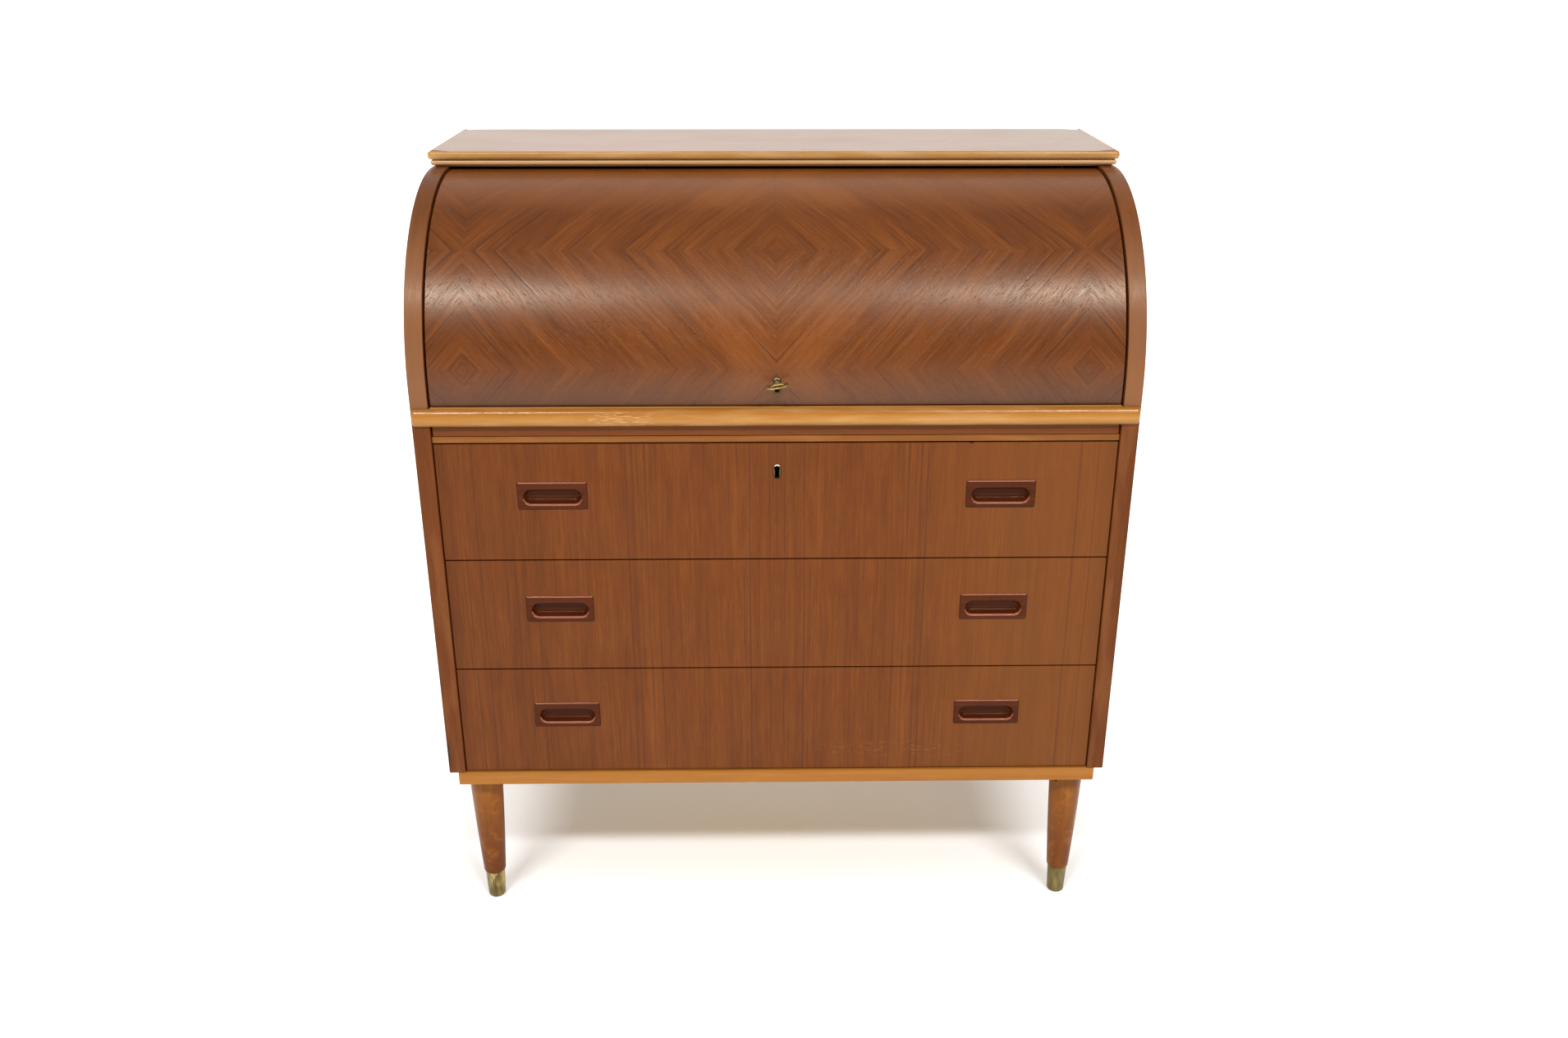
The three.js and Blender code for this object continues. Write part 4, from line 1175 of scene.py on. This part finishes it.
def leg_profile(low, high, ferrule_top):
    """(radius, height) from the tenon in the base frame down into the ferrule."""
    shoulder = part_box("plinth_front")[0].z
    foot = ferrule_top + 0.0003
    points = [(TENON, high), (TENON, shoulder + 0.0002), (LEG_TOP - 0.0012, shoulder - 0.0002),
              (LEG_TOP - 0.0004, shoulder - 0.0005), (LEG_TOP, shoulder - 0.0014)]
    for i in range(1, 24):
        part = i / 24
        swell = LEG_SWELL * math.sin(math.pi * part)
        points.append((LEG_TOP + (LEG_FOOT - LEG_TOP) * part + swell,
                       shoulder - (shoulder - foot - 0.003) * part))
    return points + [(LEG_FOOT, foot + 0.003), (LEG_FOOT - 0.0003, foot + 0.0014),
                     (LEG_FOOT - 0.0012, foot + 0.0004), (LEG_FOOT - 0.0024, foot),
                     (0.0124, foot - 0.0002), (0.0108, low + 0.0002)]


def ferrule_profile(low, high, width, floor):
    """(radius, height) of a ferrule's inside bottom, rim and outside."""
    top, foot = width / 2, FERRULE_FOOT
    return [(foot - 0.0009, floor), (top - 0.0009, high), (top - 0.0003, high - 0.0001),
            (top, high - 0.0006), (top - 0.0001, high - 0.004), (foot + 0.0002, low + 0.006),
            (foot, low + 0.0022), (foot - 0.0006, low + 0.0007), (foot - 0.0018, low)]


def add_leg(place):
    leg_low, leg_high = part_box(f"leg_{place}")
    low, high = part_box(f"ferrule_{place}")
    centre = middle(low.x, high.x), middle(low.y, high.y)
    leg = leg_profile(leg_low.z, leg_high.z, high.z)
    ferrule = ferrule_profile(low.z, high.z, high.x - low.x, leg_low.z - 0.0003)
    for name, profile, slot, finish, node in (
            (f"leg_turned_{place}", leg, "stained_beech", "leg", f"leg_{place}"),
            (f"ferrule_cup_{place}", ferrule, "brass", "ferrule", f"ferrule_{place}")):
        piece(name, turned(name, profile, centre), "case", (MADE[finish],), (node,))


# ---- key ----

BOW_TILT = -10
BOW = (0.0148, 0.0114)
BOW_EYE = (0.009, 0.0056)
BOW_THICKNESS = 0.0026
SHANK = 0.0021


def rounded(angle):
    """A point on a superellipse, a little squarer than a circle."""
    return [math.copysign(abs(f(angle)) ** 0.8, f(angle)) for f in (math.cos, math.sin)]


def bow_mesh(centre_out):
    """The key's bow: a ring whose section is a soft oval, wider at the sides."""
    loops = []
    for i in range(64):
        turn = 2 * math.pi * i / 64
        outer, inner = (Vector((size[0] * math.cos(turn), size[1] * math.sin(turn)))
                        for size in (BOW, BOW_EYE))
        centre, reach = (outer + inner) / 2, (outer - inner) / 2
        loop = []
        for k in range(16):
            out, rise = rounded(2 * math.pi * k / 16)
            at = centre + reach * out
            loop.append((at.x, centre_out + at.y, BOW_THICKNESS / 2 * rise))
        loops.append(loop)
    return loft("bow", loops + loops[:1], cap=False)


def shank_mesh(stations, sides=24):
    """A bar along the key's axis: stations are (radius, out)."""
    turns = [2 * math.pi * i / sides for i in range(sides)]
    return loft("shank", [[(radius * math.cos(turn), out, radius * math.sin(turn)) for turn in turns]
                          for radius, out in stations])


def add_key():
    turn, origin = lock_frame()
    centre = (origin.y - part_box("key")[0].y) / abs(turn.col[1].y) - BOW[1]
    neck = centre - BOW_EYE[1] - 0.0036
    shank = shank_mesh(((0.0016, -0.016), (SHANK, -0.0156), (SHANK, 0.0075), (0.0026, 0.0082),
                        (0.0026, 0.009), (SHANK, 0.0097), (0.0022, neck),
                        (0.0016, neck + 0.0016)))
    bit = board_mesh("bit", (0.0009, -0.0158, -0.001), (0.0065, -0.0115, 0.001), 0.0003, 2)
    bm = bmesh.new()
    for mesh in (bow_mesh(centre), shank, bit):
        bm.from_mesh(mesh)
        bpy.data.meshes.remove(mesh)
    mesh = from_bmesh("key_turned", bm)
    mesh.transform(Matrix.Rotation(math.radians(BOW_TILT), 4, "Y"))
    piece("key_cast", in_lock_frame(mesh), "key", (MADE["key"],), ("key",))


# ---- pigeonholes and small drawers ----

UNIT_HALF = 0.412
UNIT_BOARD = 0.009
UNIT_BACK = 0.006
UNIT_DEPTH = 0.405  # from the case's front to the back of the unit
UNIT_GAP = 0.0015  # round a small drawer


def add_pigeonholes():
    """Bottom, top, shelf, back, ends and uprights, and the rail that holds the unit."""
    low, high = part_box("pigeonhole_unit")
    front, back = low.y, CASE[0] + UNIT_DEPTH
    rear, inner = back - UNIT_BACK, UNIT_HALF - UNIT_BOARD
    drawer_low, drawer_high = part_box("small_drawer_right")
    floor, shelf = low.z + UNIT_BOARD, drawer_high.z + UNIT_GAP
    roof = high.z - UNIT_BOARD
    bay = drawer_low.x - UNIT_GAP - UNIT_BOARD
    along, upright = (teak("x"), beech_edge("x")), teak_boards("z")

    def part(tag, x, y, z, finishes=along, ease=FINE_EASE, replaces=()):
        board(f"pigeonhole_{tag}", *zip(x, y, z), "case", "teak", finishes, ease, replaces)

    wide = (-UNIT_HALF, UNIT_HALF)
    part("foot", wide, (front, high.y), (low.z, floor), replaces=("pigeonhole_unit",))
    part("top", wide, (front, back), (roof, high.z))
    part("shelf", (-inner, inner), (front, rear), (shelf, shelf + UNIT_BOARD))
    part("back", wide, (rear, back), (floor, roof), (teak("x"),) * 2, 0.0003)
    for hand, side in SIDES:
        x = sorted((side * UNIT_HALF, side * inner))
        part(f"end_{hand}", x, (front, rear), (floor, roof), upright)
    for hand, side in SIDES:
        x = sorted((side * bay, side * (bay + UNIT_BOARD)))
        part(f"upright_{hand}_0", x, (front, rear), (floor, shelf), upright)
        part(f"upright_{hand}_1", x, (front, rear), (shelf + UNIT_BOARD, roof), upright)
    part("rail", (low.x, high.x), (high.y - 0.018, high.y), (floor, low.z + 0.0377))
    for hand, side in SIDES:
        x = sorted((side * UNIT_HALF, side * high.x))
        part(f"ear_{hand}", x, (high.y - 0.038, high.y), (low.z, floor))


SMALL_WALL = 0.008
SMALL_FRONT = 0.01
NOTCH_RADIUS = 0.013


def add_small_drawer(hand):
    """A little drawer with a thumb notch in its front, made of separate boards."""
    node = f"small_drawer_{hand}"
    low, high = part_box(node)
    notch = [[(middle(low.x, high.x) + x, y, high.z + z)
              for x, z in arc((0, 0), NOTCH_RADIUS, 0, 350, 35)]
             for y in (low.y - 0.001, low.y + SMALL_FRONT + 0.002)]
    board(f"small_drawer_face_{hand}", low, (high.x, low.y + SMALL_FRONT, high.z), node, "teak",
          teak_boards("x"), FINE_EASE, (node,), [loft("notch", notch)])
    front, rear = low.y + SMALL_FRONT + PLAY, high.y - SMALL_WALL
    left, right = low.x + SMALL_WALL, high.x - SMALL_WALL
    for tag, x, y, top, axis, ease in (
            (f"side_{hand}_near", (low.x, left), (front, high.y), high.z, "y", FINE_EASE),
            (f"side_{hand}_far", (right, high.x), (front, high.y), high.z, "y", FINE_EASE),
            (f"back_{hand}", (left, right), (rear, high.y), high.z, "x", FINE_EASE),
            (f"bottom_{hand}", (left, right), (front, rear), low.z + SMALL_WALL / 2, "x", 0.0003)):
        board(f"small_drawer_{tag}", *zip(x, y, (low.z, top)), node, "birch_ply",
              ply_boards(axis), ease)


# ---- CAD parts whose shape stays ----

def finish_cad_parts():
    steel, liner = (MADE["steel"],), (MADE["liner"],)
    for finishes, *nodes in (
            (ply_boards("x"), "back_panel", "bottom_panel", "dust_board"),
            (teak_boards("x"), "writing_leaf"),
            (beech_boards("x"), "plinth_back"),
            (beech_boards("y"), "leaf_batten_left", "leaf_batten_right", "plinth_left",
             "plinth_right", *(f"runner_{name}_{hand}" for name in DRAWERS for hand, _ in SIDES)),
            ((ply("z"),), "cover_cheek_left", "cover_cheek_right"),
            (steel, "pivot_pin_left", "pivot_pin_right", "cover_lock_case", "cover_lock_bolt",
             "drawer_lock_case", "drawer_lock_bolt"),
            (liner, "cover_keyhole_liner", "drawer_keyhole_liner")):
        for node in nodes:
            eased_cad(node, finishes)


make_materials()
add_camera()
add_studio()
add_sides()
add_moulding()
add_top()
add_cover()
add_leaf_front()
for drawer in DRAWERS:
    add_drawer_front(drawer)
    for hand, _ in SIDES:
        add_pull(drawer, hand)
    add_drawer_box(drawer)
for end in ("front", "back"):
    for hand, _ in SIDES:
        add_leg(f"{end}_{hand}")
add_key()
add_pigeonholes()
for hand, _ in SIDES:
    add_small_drawer(hand)
finish_cad_parts()
